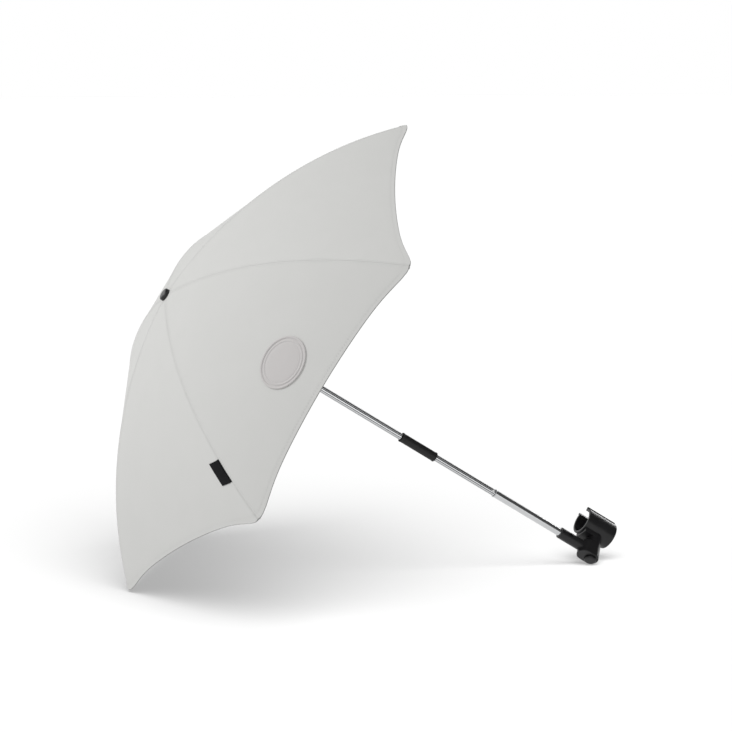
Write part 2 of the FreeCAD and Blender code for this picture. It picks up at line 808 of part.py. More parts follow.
def make_runner():
    """The sliding collar that pushes the stretchers, and the spring leaf that stops it."""
    middle = as_size(runner_height)
    top = middle + size("flange_thick") / 2
    under = middle - size("flange_thick") / 2
    neck_foot = under - lead - size("blade_width")
    foot = neck_foot - size("lip_thick")
    runner = revolve("runner", [
        (runner_bore, top), (flange_radius, top), (flange_radius, under),
        (runner_radius, under), (runner_radius, neck_foot),
        (lip_radius, neck_foot), (lip_radius, foot), (runner_bore, foot)])
    slot = new_sketch(runner, "XZ_Plane")
    blade_side = size("hinge_radius") - size("blade_width") / 2 - size("side_play")
    below = under - size("blade_width")
    draw_rectangle(slot, blade_side, below, flange_radius * 2, top + size("flange_thick"))
    around(runner, cut(runner, slot, size("blade_thick") + size("side_play") * 2), size("rib_count"))
    notch = new_sketch(runner, "XZ_Plane")
    room = size("cross_pin_radius") + size("side_play")
    draw_rectangle(notch, size("hinge_radius") - room, below, size("hinge_radius") + room, middle + room)
    around(runner, cut(runner, notch, size("cross_pin_length") + size("side_play") * 2), size("rib_count"))
    finish(runner, CANOPY, "runner")

    leaf = new_body("runner_catch")
    profile = new_sketch(leaf, "XZ_Plane")
    inside = size("tube_radius") - size("tube_wall") * 2
    leaf_top = foot - size("side_play")
    leaf_foot = leaf_top - size("catch_length")
    draw_outline(profile, [
        (inside, leaf_foot), (size("tube_radius"), leaf_foot),
        (size("tube_radius") + size("catch_rise"), leaf_top), (inside, leaf_top)])
    pad(leaf, profile, size("catch_width"), both_ways=True)
    finish(leaf, POLE, "runner_catch")
    return leaf_foot, leaf_top


# Pole

def make_tube(name, radius, bore, length, fluted):
    """A drawn tube standing on its foot, plain or with flutes along it."""
    body = new_body(name)
    ring = new_sketch(body, "XY_Plane")
    draw_circle(ring, ZERO, ZERO, radius)
    draw_circle(ring, ZERO, ZERO, bore)
    pad(body, ring, length)
    if fluted:
        flute = new_sketch(body, "XY_Plane")
        reach = radius + size("flute_radius") - size("flute_depth")
        draw_circle(flute, reach, ZERO, size("flute_radius"))
        around(body, cut(body, flute, length, both_ways=False, backwards=True), size("flute_count"))
    return body


def make_upper_tube(leaf_foot, leaf_top):
    """The tube from the bending joint to the crown, with the slot of the runner's catch."""
    foot = size("tilt_height") + size("tilt_reach")
    length = hub_top - size("hub_web") - foot
    bore = size("tube_radius") - size("tube_wall")
    tube = make_tube("upper_tube", size("tube_radius"), bore, length, True)
    slot = new_sketch(tube, "YZ_Plane")
    half = size("catch_width") / 2 + size("side_play") / 2
    draw_rectangle(slot, ZERO - half, leaf_foot - foot - size("side_play"),
                   half, leaf_top - foot + size("side_play"))
    cut(tube, slot, size("tube_radius") * 2, both_ways=False, backwards=True)
    finish(tube, POLE * shift(0, 0, foot), "upper_tube")


def make_tilt_joint():
    """Fork, tongue and pin of the bending joint, and the soft sleeve over them."""
    place = POLE * shift(0, 0, mm("tilt_height"))
    spigot = size("tube_radius") - size("tube_wall") - size("pin_play")
    across = turn(X_AXIS, 90)
    ear = mm("ear_radius")
    collar = collar_radius.value
    tongue = size("tongue_thick")

    def link():
        """A round-ended tab about the pin, the collar above it and the spigot in the tube."""
        head = fuse(
            cylinder(size("ear_radius"), collar_radius * 2, shift(0, collar, 0) * across),
            box(size("ear_radius") * 2, collar_radius * 2, size("collar_gap"), shift(-ear, -collar, 0)))
        rod = cylinder(collar_radius, size("collar_gap") + size("ear_radius"), shift(0, 0, -ear))
        stub = cylinder(collar_radius, size("tilt_reach") - size("collar_gap"),
                        shift(0, 0, mm("collar_gap")))
        stem = cylinder(spigot, size("spigot_length"), shift(0, 0, mm("tilt_reach")))
        return overlap(head, rod), fuse(stub, stem)

    def pin_hole():
        """The hole of the tilt pin, right across."""
        return cylinder(size("tilt_pin_radius") + size("pin_play"), collar_radius * 2,
                        shift(0, collar, 0) * across)

    tab, stub = link()
    slot_half = tongue.value / 2 + mm("ear_play")
    slot_height = (size("ear_radius") + size("ear_play")) * 2
    slot = box(collar_radius * 2, tongue + size("ear_play") * 2, slot_height,
               shift(-collar, -slot_half, -ear - mm("ear_play")))
    finish(subtract(fuse(tab, stub), fuse(slot, pin_hole())), place, "tilt_fork")

    tab, stub = link()
    slab = box(collar_radius * 2, tongue, size("ear_radius") + size("collar_gap"),
               shift(-collar, -tongue.value / 2, -ear))
    blade = overlap(tab, slab)
    upside_down = turn(X_AXIS, 180)
    finish(subtract(fuse(blade, stub), pin_hole()), place * upside_down, "tilt_tongue")

    pin_length = (collar_radius - size("ear_play")) * 2
    pin = cylinder(size("tilt_pin_radius"), pin_length, FreeCAD.Placement())
    finish(group(pin), place * shift(0, pin_length.value / 2, 0) * across, "tilt_pin")

    half = size("sleeve_length") / 2
    top = size("tilt_height") + half
    foot = size("tilt_height") - half
    neck = size("tube_radius") + size("side_play")
    sleeve = revolve("tilt_sleeve", [
        (neck, foot), (sleeve_radius, foot), (sleeve_radius, top), (neck, top),
        (neck, top - size("sleeve_lip")), (sleeve_bore, top - size("sleeve_lip")),
        (sleeve_bore, foot + size("sleeve_lip")), (neck, foot + size("sleeve_lip"))])
    rims = [(sleeve_radius, foot), (sleeve_radius, top)]
    round_rims(sleeve, size("sleeve_round"), size("sleeve_wall"), rims)
    finish(sleeve, POLE, "tilt_sleeve")


def make_middle_tube():
    """The tube that slides into the lower one, its spring catch and the plug at its foot."""
    foot = size("mouth_height") - size("insert_length")
    length = size("tilt_height") - size("tilt_reach") - foot
    place = POLE * shift(0, 0, foot) * turn(Z_AXIS, mm("button_turn"))
    bore = size("tube_radius") - size("tube_wall")
    tube = make_tube("middle_tube", size("tube_radius"), bore, length, True)
    hole = new_sketch(tube, "YZ_Plane")
    height = size("insert_length") + size("button_step") + size("button_radius")
    draw_circle(hole, ZERO, height, size("button_radius") + size("side_play") / 2)
    cut(tube, hole, size("tube_radius") * 2, both_ways=False, backwards=True)
    finish(tube, place, "middle_tube")

    step = bore - size("tube_wall") * 2
    base = step - size("tube_wall")
    head = size("tube_radius") + size("button_rise")
    button = revolve("snap_catch", [
        (ZERO, base), (size("button_base"), base), (size("button_base"), step),
        (size("button_radius"), step), (size("button_radius"), head), (ZERO, head)])
    round_rims(button, size("button_round"), size("button_rise"), [(mm("button_radius"), head)])
    finish(button, place * shift(0, 0, height) * turn(Y_AXIS, 90), "snap_catch")

    wide = lower_bore - size("plug_play")
    rim = size("plug_rim")
    plug = revolve("slide_plug", [
        (ZERO, ZERO), (wide, ZERO), (wide, rim), (bore - size("plug_play"), rim),
        (bore - size("plug_play"), size("plug_length")), (ZERO, size("plug_length"))])
    finish(plug, POLE * shift(0, 0, foot - rim), "slide_plug")


def make_lower_tube():
    """The plain tube in the knuckle's socket, and the rivet that holds it there."""
    length = size("mouth_height") - tube_seat
    tube = make_tube("lower_tube", lower_radius, lower_bore, length, False)
    hole = new_sketch(tube, "XZ_Plane")
    draw_circle(hole, ZERO, size("socket_rivet_height") - tube_seat,
                size("socket_rivet_radius") + size("pin_play"))
    cut(tube, hole, socket_radius * 2)
    finish(tube, CLIP * shift(0, 0, tube_seat), "lower_tube")

    pin = rivet(size("socket_rivet_radius"), socket_radius * 2,
                size("socket_rivet_head"), size("socket_rivet_head_thick"))
    finish(pin, CLIP * shift(0, 0, mm("socket_rivet_height")) * turn(X_AXIS, 90), "socket_rivet")


# Knuckle

def make_knuckle():
    """Barrel, elbow and socket in one moulding, with the chamber of the push button."""
    back = mm("barrel_back")
    front = barrel_front.value
    along = turn(Y_AXIS, 90)
    to_elbow = size("barrel_back") + socket_radius
    solid = fuse(
        cylinder(size("barrel_radius"), size("barrel_length"), shift(-back, 0, 0) * along),
        cylinder(size("barrel_radius"), to_elbow, shift(-back, 0, mm("elbow_reach")) * along),
        box(to_elbow, size("barrel_radius") * 2, size("elbow_reach"), shift(-back, -mm("barrel_radius"), 0)),
        cylinder(socket_radius, size("socket_height"), FreeCAD.Placement()))
    drill = size("socket_rivet_radius") + size("pin_play")
    pivot_bore = size("pivot_radius") + size("pivot_play")
    hollow = fuse(
        cylinder(chamber_radius, size("chamber_depth"), shift(-back, 0, 0) * along),
        cylinder(pivot_bore, size("barrel_length"), shift(-back, 0, 0) * along),
        cylinder(recess_radius, recess_depth, shift(front - recess_depth.value, 0, 0) * along),
        cylinder(socket_bore, size("socket_height"), shift(0, 0, tube_seat)),
        cylinder(drill, socket_radius * 2,
                 shift(0, socket_radius, mm("socket_rivet_height")) * turn(X_AXIS, 90)))
    shell = subtract(solid, hollow)
    doc.recompute()
    rims = []
    for index, edge in enumerate(shell.Shape.Edges, start=1):
        bounds = edge.BoundBox
        round_edge = isinstance(edge.Curve, Part.Circle)
        in_chamber = round_edge and edge.Curve.Radius < chamber_radius.value + SAME
        on_back = bounds.XMax < SAME - back and not in_chamber
        on_mouth = round_edge and bounds.ZMin > mm("socket_height") - SAME
        if on_back or (on_mouth and edge.Curve.Radius > socket_radius.value - SAME):
            rims.append((index, mm("barrel_round"), mm("barrel_round")))
    housing = doc.addObject("Part::Fillet", "Fillet")
    housing.Base = shell
    housing.Edges = rims
    finish(housing, CLIP, "knuckle_housing")

    ring = revolve("lock_ring", [
        (lock_inner, ZERO), (lock_outer, ZERO),
        (lock_outer, size("lock_thick")), (lock_inner, size("lock_thick"))])
    gap = new_sketch(ring, "XY_Plane")
    half = size("tooth_width") / 2
    draw_rectangle(gap, ZERO, ZERO - half, lock_outer * 2, half)
    around(ring, cut(ring, gap, size("tooth_depth"), both_ways=False, backwards=True), size("tooth_count"))
    finish(ring, BARREL * shift(0, 0, boss_face - size("lock_thick")), "lock_ring")

    shank = size("screw_head_thick") + size("screw_length")
    screw = revolve("pivot_screw", [
        (ZERO, ZERO), (screw_head, ZERO), (screw_head, size("screw_head_thick")),
        (size("screw_radius"), size("screw_head_thick")), (size("screw_radius"), shank), (ZERO, shank)])
    web_face = mm("chamber_depth") - back
    screw_foot = web_face - mm("face_gap") - mm("screw_head_thick")
    finish(screw, BARREL * shift(0, 0, screw_foot), "pivot_screw")

    button_foot = -back - mm("push_stand")
    stem_end = size("push_length") + size("push_stem_length")
    button = revolve("push_button", [
        (ZERO, ZERO), (push_radius, ZERO), (push_radius, size("push_length")),
        (size("push_stem"), size("push_length")), (size("push_stem"), stem_end), (ZERO, stem_end)])
    round_rims(button, size("push_round"), size("push_stand"), [(push_radius, 0)])
    finish(button, BARREL * shift(0, 0, button_foot), "push_button")

    spring_foot = button_foot + mm("push_length")
    make_spring(spring_foot, web_face - spring_foot)


def make_spring(foot, length):
    """The coil that pushes the button out."""
    wire = size("spring_wire")
    height = as_size(length) - wire * 2
    coil = doc.addObject("Part::Helix", "Helix")
    bind(coil, Radius=spring_radius, Height=height, Pitch=height / size("spring_turns"))
    section = doc.addObject("Part::Circle", "Circle")
    bind(section, Radius=wire)
    section.Placement = shift(spring_radius, 0, 0) * turn(X_AXIS, 90)
    spring = doc.addObject("Part::Sweep", "Sweep")
    spring.Sections = [section]
    spring.Spine = (coil, [])
    spring.Solid = True
    spring.Frenet = True
    finish(spring, BARREL * shift(0, 0, foot + wire.value), "button_spring")


# Clip

def make_clip():
    """The open ring that snaps on a pram's tube, with the pivot that the knuckle turns on."""
    pivot_end = size("chamber_depth") - size("barrel_back") - size("face_gap")
    boss_length = ring_offset - boss_face
    pivot_length = ring_offset - pivot_end
    body = new_body("clip_body")
    profile = new_sketch(body, "XY_Plane")
    draw_jaws(profile)
    pad(body, profile, size("ring_length"), both_ways=True)
    saddle = new_sketch(body, "XY_Plane")
    half = size("saddle_width") / 2
    saddle_foot = ZERO - ring_radius - size("saddle_depth")
    draw_rectangle(saddle, saddle_foot, ZERO - half, ZERO - size("bore_radius"), half)
    pad(body, saddle, size("ring_length") / 2 - size("saddle_inset"))
    for radius, length in ((size("barrel_radius"), boss_length), (size("pivot_radius"), pivot_length)):
        stub = new_sketch(body, "YZ_Plane")
        draw_circle(stub, ZERO, ZERO, radius)
        pad(body, stub, length, backwards=True)
    bore = new_sketch(body, "XY_Plane")
    draw_circle(bore, ZERO, ZERO, size("bore_radius"))
    cut(body, bore, size("ring_length") * 2)
    thread = new_sketch(body, "YZ_Plane")
    thread.AttachmentOffset = shift(0, 0, -pivot_length.value)
    draw_circle(thread, ZERO, ZERO, size("screw_radius") + size("pin_play"))
    cut(body, thread, size("screw_length") + size("face_gap"), both_ways=False, backwards=True)
    round_ring_ends(body)
    finish(body, CLIP * shift(ring_offset, 0, 0), "clip_body")


def round_ring_ends(body):
    """Round the outer edges of the open ring's two end faces."""
    doc.recompute()
    names = []
    for index, edge in enumerate(body.Shape.Edges, start=1):
        bounds = edge.BoundBox
        flat = bounds.ZLength < SAME and abs(bounds.ZMin) > mm("ring_length") / 2 - SAME
        round_edge = isinstance(edge.Curve, Part.Circle)
        if flat and round_edge and edge.Curve.Radius > ring_radius.value - SAME:
            names.append("Edge%d" % index)
    fillet = body.newObject("PartDesign::Fillet", "Fillet")
    fillet.Base = (fillet.BaseFeature, names)
    bind(fillet, Radius=smaller(size("clip_round"), size("ring_wall") * ROUND_SHARE))


def draw_jaws(sketch):
    """The open ring's section: two arcs about the bore, and a lip that flares out on each jaw."""
    bore = size("bore_radius")
    half = mm("mouth_width") / 2
    inner = Vector(math.sqrt(bore.value ** 2 - half ** 2), half, 0)
    flare = Vector(mm("jaw_reach"), mm("jaw_flare"), 0)
    lip = inner + flare
    flare.normalize()
    thick = Vector(-flare.y, flare.x, 0) * mm("jaw_thick")
    back = inner + thick
    toward = back.dot(flare)
    reach = math.sqrt(toward ** 2 - back.dot(back) + ring_radius.value ** 2) - toward
    outer = back + flare * reach
    upper = [inner, lip, lip + thick, outer]
    lower = [Vector(point.x, -point.y, 0) for point in upper]
    ends = []
    for corners in (upper, lower):
        lines = []
        for start, end in zip(corners, corners[1:]):
            lines.append(sketch.addGeometry(Part.LineSegment(start, end)))
        for before, after in zip(lines, lines[1:]):
            sketch.addConstraint(Sketcher.Constraint("Coincident", before, 2, after, 1))
        pin_point(sketch, lines[1], 1, corners[1].x, corners[1].y)
        pin_point(sketch, lines[2], 1, corners[2].x, corners[2].y)
        ends.append(lines)
    for radius, point, which, corner in ((bore, 1, 0, inner), (ring_radius, 2, 2, outer)):
        start = math.atan2(corner.y, corner.x)
        circle = Part.Circle(Vector(), Z_AXIS, radius.value)
        arc = sketch.addGeometry(Part.ArcOfCircle(circle, start, 2 * math.pi - start))
        sketch.addConstraint(Sketcher.Constraint("Coincident", arc, 3, -1, 1))
        index = sketch.addConstraint(Sketcher.Constraint("Radius", arc, radius.value))
        sketch.setExpression("Constraints[%d]" % index, radius.text)
        for arc_end, lines in ((1, ends[0]), (2, ends[1])):
            sketch.addConstraint(Sketcher.Constraint("Coincident", arc, arc_end, lines[which], point))
            side = 1 if arc_end == 1 else -1
            sketch.addConstraint(Sketcher.Constraint("DistanceY", -1, 1, arc, arc_end, side * corner.y))


make_crown()
for number in range(int(mm("rib_count"))):
    make_rib(number)
    make_tip(number)
    make_stretcher(number)
    make_gore(number)
make_sewn_pieces()
make_upper_tube(*make_runner())
make_tilt_joint()
make_middle_tube()
make_lower_tube()
make_knuckle()
make_clip()
doc.recompute()

# Checks, then the files

for thing in doc.Objects:
    if "Invalid" in thing.State or "Error" in thing.State:
        raise RuntimeError("%s (%s) failed to build" % (thing.Label, thing.Name))
for piece in pieces:
    if piece.Shape.isNull() or not piece.Shape.isValid() or piece.Shape.Volume <= 0:
        raise RuntimeError("%s has no sound shape" % piece.Label)

os.makedirs("parts", exist_ok=True)
for piece in pieces:
    piece.Shape.exportStep("parts/%s.step" % piece.Label)

print("pieces %d" % len(pieces))
print("rib fold %.3f deg, runner travel %.3f mm, lead %.2f mm" % (
    math.degrees(fold_angle), runner_travel, lead))
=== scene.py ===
"""The looks of the pram parasol: sewn canopy, bright tubes and black mouldings in a plain white studio."""

import json
import math

import bmesh
import bpy
import numpy as np
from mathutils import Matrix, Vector


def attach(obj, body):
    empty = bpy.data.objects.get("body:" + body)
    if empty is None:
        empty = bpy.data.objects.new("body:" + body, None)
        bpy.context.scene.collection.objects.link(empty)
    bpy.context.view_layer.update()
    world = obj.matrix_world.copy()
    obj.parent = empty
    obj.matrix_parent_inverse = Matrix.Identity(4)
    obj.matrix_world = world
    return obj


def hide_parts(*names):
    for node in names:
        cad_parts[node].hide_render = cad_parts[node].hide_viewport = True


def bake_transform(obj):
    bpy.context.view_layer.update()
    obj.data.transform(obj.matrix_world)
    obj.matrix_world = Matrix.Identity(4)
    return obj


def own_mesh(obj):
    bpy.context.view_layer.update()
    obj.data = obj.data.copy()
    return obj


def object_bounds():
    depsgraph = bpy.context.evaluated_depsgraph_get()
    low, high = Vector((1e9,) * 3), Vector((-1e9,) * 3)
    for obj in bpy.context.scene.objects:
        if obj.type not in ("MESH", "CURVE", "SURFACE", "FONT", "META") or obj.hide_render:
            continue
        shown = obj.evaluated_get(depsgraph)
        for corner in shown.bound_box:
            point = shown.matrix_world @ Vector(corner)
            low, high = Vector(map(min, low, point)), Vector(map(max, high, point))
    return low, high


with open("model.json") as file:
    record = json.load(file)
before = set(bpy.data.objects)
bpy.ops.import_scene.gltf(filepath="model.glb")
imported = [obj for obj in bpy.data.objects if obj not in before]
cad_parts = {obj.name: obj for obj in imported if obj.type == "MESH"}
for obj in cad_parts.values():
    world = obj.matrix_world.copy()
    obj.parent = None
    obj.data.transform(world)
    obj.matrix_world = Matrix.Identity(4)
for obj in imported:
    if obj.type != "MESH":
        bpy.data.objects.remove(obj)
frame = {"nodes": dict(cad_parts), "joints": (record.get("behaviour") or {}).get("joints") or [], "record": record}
cad_low, cad_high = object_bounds()

# Places and directions that follow from the joints

joints = {joint["name"]: joint for joint in frame["joints"]}
RIBS = range(1, 7)
HALF_STEP = math.pi / len(RIBS)
LABEL_RIB = 5


def joint_place(name):
    """Where a hinge stands."""
    return np.array(joints[name]["pos_m"])


def joint_axis(name):
    """The direction that a joint turns about or slides along."""
    axis = np.array(joints[name]["axis"])
    return axis / np.linalg.norm(axis)


UP_POLE = -joint_axis("runner_slide")
CROWN_CENTRE = np.mean([joint_place("rib_hinge_%d" % rib) for rib in RIBS], axis=0)
SWIVEL = joint_place("pole_swivel")

# The canopy as it is cut and sewn: sizes in metres, and shares and powers as plain numbers

CANOPY_RADIUS = 0.360
CANOPY_DROP = 0.1625
RIB_BEND = 0.542
CROWN_RISE = 0.0045
CROWN_HOLE = 0.005
TIP_SHOW = 0.0015
HEM_RISE = 0.015
HEM_POWER = 4
CLOTH_THICK = 0.0006
RIDGE_ROUND = 0.003
CORNER_ROUND = 0.015
CORNER_SPREAD = 0.034
CORNER_POWER = 14
TIP_COVER = 0.002
TIP_COVER_WIDTH = 0.018
HEM_WIDTH = 0.008
HEM_WELT = 0.0006
SEAM_WIDTH = 0.0032
SEAM_WELT = 0.0005
SEAM_GROOVE = 0.0010
GROOVE_WIDTH = 0.0006
FADE = 0.0006
CROWN_FADE = 0.03
INNER_WELT = 0.5
PANEL_GAP = 0.000001
NORMAL_STEP = 0.00002
STITCH_PITCH = 0.0036
STITCH_LENGTH = 0.0026
STITCH_WIDTH = 0.00055
STITCH_RISE = 0.0003
# A stitch's mesh: shares of its length and rise from end to end, and of its half width from side to side
STITCH_ENDS = ((-0.5, -0.2), (-0.3, 0.9), (0.3, 0.9), (0.5, -0.2))
STITCH_SIDES = (-1, -0.55, 0.55, 1)
STITCH_FOOT = -0.2
SEAM_STITCH = 0.0021
SEAM_STITCH_FOOT = 0.004
SEAM_STITCH_HEAD = 0.012
HEM_STITCH = 0.0018
LINING_GAP = 0.0002
LINING_THICK = 0.0003
LINING_GRID = (13, 21)
# Each ring of the lining: its inner and outer radius, the share of its width that it keeps, and its layer
LININGS = {
    "crown_lining": (0.012, 0.062, 0.76, 1),
    "upper_lining": (0.055, 0.122, 0.48, 2),
    "lower_lining": (0.115, 0.195, 0.33, 1),
}

APEX = CROWN_CENTRE + UP_POLE * CROWN_RISE
half_chord = math.hypot(CANOPY_RADIUS, CANOPY_DROP) / 2
centre_depth = math.sqrt(RIB_BEND ** 2 - half_chord ** 2)
chord_slope = math.atan2(CANOPY_DROP, CANOPY_RADIUS)
ARC_X = CANOPY_RADIUS / 2 - centre_depth * math.sin(chord_slope)
ARC_Z = -CANOPY_DROP / 2 - centre_depth * math.cos(chord_slope)
FIRST_ANGLE = math.asin((CROWN_HOLE - ARC_X) / RIB_BEND)
LAST_ANGLE = math.asin((CANOPY_RADIUS - ARC_X) / RIB_BEND) - TIP_SHOW / RIB_BEND
RIB_LENGTH = RIB_BEND * (LAST_ANGLE - FIRST_ANGLE)

# Rows of a gore's mesh up from the hem, columns out from the rib, and turns round the hem's edge

HEM_ROWS = [0, 0.0004, 0.0014, 0.004, HEM_WIDTH - FADE, HEM_WIDTH, HEM_WIDTH + FADE, 0.011]
GORE_ROWS = np.concatenate([HEM_ROWS, np.linspace(0.016, RIB_LENGTH, 58)])
SEAM_COLUMNS = np.array([0, 0.5 * GROOVE_WIDTH, GROOVE_WIDTH, 2 * GROOVE_WIDTH,
                         SEAM_WIDTH - FADE, SEAM_WIDTH, SEAM_WIDTH + FADE, 0.0055, 0.009])
SEAM_SHARE = 0.4
PANEL_SHARES = np.linspace(0, 1, 17)[1:]
HEM_TURNS = [math.radians(turn) for turn in (36, 72, 108, 144)]


# Materials

MAP_NAME = "weave"
TINT_ENDS = (0.3, 0.7)
BEVEL_SAMPLES = 4
SLUB_SHARE = 0.8
# Depths under a fluted tube's face where the painted shade in its flutes is full, and where it ends
FLUTE_SHADE_FULL_DEPTH = 0.00022
FLUTE_SHADE_END_DEPTH = 0.00004


def fill(tree, node, inputs):
    """Give sockets, by name or number, their plain values, or a link where an output is given."""
    for socket, value in inputs.items():
        if isinstance(value, bpy.types.NodeSocket):
            tree.links.new(value, node.inputs[socket])
        else:
            node.inputs[socket].default_value = value


def add_node(tree, kind, inputs, operation=None):
    """A new node with its sockets filled."""
    node = tree.nodes.new("ShaderNode" + kind)
    if operation is not None:
        node.operation = operation
    fill(tree, node, inputs)
    return node


class Shader:
    """A material's nodes, with short calls for the usual ones."""

    def __init__(self, name, colour, roughness, metallic=0.0):
        self.material = bpy.data.materials.new(name)
        self.material.use_nodes = True
        self.tree = self.material.node_tree
        self.surface = self.tree.nodes["Principled BSDF"]
        self.dress({"Base Color": (*colour, 1.0), "Roughness": roughness, "Metallic": metallic})

    def dress(self, inputs):
        """Fill sockets of the surface itself."""
        fill(self.tree, self.surface, inputs)

    def add(self, kind, inputs=None, operation=None):
        """A new node of this material."""
        return add_node(self.tree, kind, inputs or {}, operation)

    def maths(self, operation, *values):
        """The result of one sum on outputs or numbers."""
        return self.add("Math", dict(enumerate(values)), operation).outputs[0]

    def noise(self, scale, detail):
        """Noise in the object's own metres."""
        place = self.add("TexCoord").outputs["Object"]
        return self.add("TexNoise", {"Vector": place, "Scale": scale, "Detail": detail}).outputs["Fac"]

    def map_range(self, factor, low, high, start=0.0, end=1.0):
        """A value from low to high as a factor goes from start to end."""
        ends = {"From Min": start, "From Max": end, "To Min": low, "To Max": high}
        return self.add("MapRange", {"Value": factor, **ends}).outputs["Result"]

    def tint(self, factor, dark, light):
        """A colour between two by a factor, on the base colour."""
        node = self.add("ValToRGB", {"Fac": factor})
        for element, colour, position in zip(node.color_ramp.elements, (dark, light), TINT_ENDS):
            element.color = (*colour, 1.0)
            element.position = position
        self.dress({"Base Color": node.outputs["Color"]})

    def bump(self, height, strength, distance, **inputs):
        """Relief on the surface."""
        node = self.add("Bump", {"Height": height, "Strength": strength, "Distance": distance, **inputs})
        self.dress({"Normal": node.outputs["Normal"]})

    def soft_edges(self, radius):
        """Normals rounded over sharp edges."""
        node = self.add("Bevel", {"Radius": radius})
        node.samples = BEVEL_SAMPLES
        return node.outputs["Normal"]

    def weave(self, pitch):
        """The height of a plain weave on the mesh's map in metres."""
        uv = self.add("UVMap")
        uv.uv_map = MAP_NAME
        split = self.add("SeparateXYZ", {"Vector": uv.outputs["UV"]})
        turns = [self.maths("MULTIPLY", split.outputs[axis], math.tau / pitch) for axis in "XY"]
        return self.maths("MULTIPLY", *[self.maths("SINE", turn) for turn in turns])


def cloth_material(name, dark, light, pitch, strength, sheen=0.12, shine=0.25):
    """Plain-woven cloth with a soft sheen and the faint unevenness of its dye."""
    shader = Shader(name, light, roughness=0.86)
    shader.dress({"Sheen Weight": sheen, "Sheen Roughness": 0.45, "Specular IOR Level": shine})
    shader.tint(shader.noise(scale=26, detail=4), dark, light)
    slub = shader.maths("MULTIPLY", shader.noise(scale=900, detail=2), SLUB_SHARE)
    shader.bump(shader.maths("ADD", shader.weave(pitch), slub), strength, distance=0.00012)
    return shader.material


def plastic_material(name, dark, light, roughness):
    """Moulded plastic: fine grain, rounded edges and uneven gloss."""
    shader = Shader(name, light, roughness)
    gloss = shader.map_range(shader.noise(scale=140, detail=4), roughness - 0.06, roughness + 0.08)
    shader.dress({"Specular IOR Level": 0.45, "Roughness": gloss})
    shader.tint(shader.noise(scale=60, detail=3), dark, light)
    rounded = shader.soft_edges(radius=0.0007)
    shader.bump(shader.noise(scale=2600, detail=2), strength=0.10, distance=0.00006, Normal=rounded)
    return shader.material


def metal_material(name, dark, light, roughness, grain):
    """Drawn or plated metal with rubbed spots, and with a fine grain where it isn't polished."""
    shader = Shader(name, light, roughness, metallic=1.0)
    gloss = shader.map_range(shader.noise(scale=220, detail=5), roughness * 0.8, roughness * 1.3)
    shader.dress({"Roughness": gloss})
    shader.tint(shader.noise(scale=35, detail=4), dark, light)
    if grain:
        shader.bump(shader.noise(scale=1800, detail=2), strength=grain, distance=0.00002)
    return shader.material


def flute_shade_material(name, origin, axis, radius):
    """Bright metal with painted shade down in the flutes of a tube."""
    # The dark colour is painted shade in the flutes; the light one is the chrome's own colour
    dark, light = (0.16, 0.16, 0.17), (0.84, 0.85, 0.86)
    shader = Shader(name, light, roughness=0.12, metallic=1.0)
    place = shader.add("TexCoord").outputs["Object"]
    away = shader.add("VectorMath", {0: place, 1: tuple(origin)}, "SUBTRACT")
    around = shader.add("VectorMath", {0: away.outputs["Vector"], 1: tuple(axis)}, "CROSS_PRODUCT")
    reach = shader.add("VectorMath", {0: around.outputs["Vector"]}, "LENGTH").outputs["Value"]
    # Painted shade, full deep in a flute and gone near the tube's face
    shader.tint(shader.map_range(reach, 0, 1, radius - FLUTE_SHADE_FULL_DEPTH, radius - FLUTE_SHADE_END_DEPTH), dark, light)
    shader.dress({"Roughness": shader.map_range(shader.noise(scale=90, detail=4), 0.10, 0.15)})
    return shader.material


CLOTH = cloth_material("pale_cloth", (0.644, 0.645, 0.629), (0.654, 0.654, 0.639), 0.0009, 0.16)
# Darker cloth on the hem's rounded edge: painted shade of the folded edge
HEM_EDGE_SHADE = cloth_material("hem_edge_painted_shade", (0.34, 0.34, 0.33), (0.36, 0.36, 0.35), 0.0009, 0.16)
THREAD = cloth_material("pale_thread", (0.60, 0.60, 0.59), (0.70, 0.70, 0.69), 0.0004, 0.3)
PATCH = cloth_material("patch_cloth", (0.590, 0.572, 0.566), (0.604, 0.586, 0.580), 0.0007, 0.20)
LABEL = cloth_material("black_woven", (0.005, 0.005, 0.006), (0.009, 0.009, 0.010), 0.0008, 0.45, 0.01, 0.12)
CHROME = metal_material("bright_chrome", (0.76, 0.77, 0.78), (0.84, 0.85, 0.86), 0.11, 0)
STEEL = metal_material("zinc_steel", (0.50, 0.51, 0.52), (0.62, 0.63, 0.64), 0.30, 0.10)
DARK_STEEL = metal_material("blackened_steel", (0.030, 0.030, 0.032), (0.045, 0.045, 0.047), 0.40, 0.15)
BLACK = plastic_material("black_plastic", (0.009, 0.009, 0.010), (0.015, 0.015, 0.016), 0.31)
RUBBER = plastic_material("black_rubber", (0.003, 0.003, 0.003), (0.006, 0.006, 0.006), 0.47)
# Near-white and not metal: a painted highlight standing for the button's bright metal
BUTTON_HIGHLIGHT = plastic_material("button_painted_highlight", (0.88, 0.88, 0.88), (0.95, 0.95, 0.95), 0.28)
TIP = plastic_material("pale_plastic", (0.58, 0.58, 0.57), (0.63, 0.63, 0.62), 0.40)

NODE_FINISH = {
    "bright_tube": CHROME,
    "black_plastic": BLACK,
    "black_rubber": RUBBER,
    "steel": STEEL,
    "tip_plastic": TIP,
    "cloth": CLOTH,
    "patch_cloth": PATCH,
    "label_cloth": LABEL,
}


def finish_nodes():
    """Give every CAD piece the material of its slot."""
    for part in frame["record"]["subparts"]:
        piece = frame["nodes"][part["node"]]
        piece.data.materials.clear()
        piece.data.materials.append(NODE_FINISH[part["material_slot"]])
    frame["nodes"]["socket_rivet"].data.materials[0] = DARK_STEEL


# Mesh helpers

def add_object(name, data):
    """A new object in the scene."""
    item = bpy.data.objects.new(name, data)
    bpy.context.scene.collection.objects.link(item)
    return item


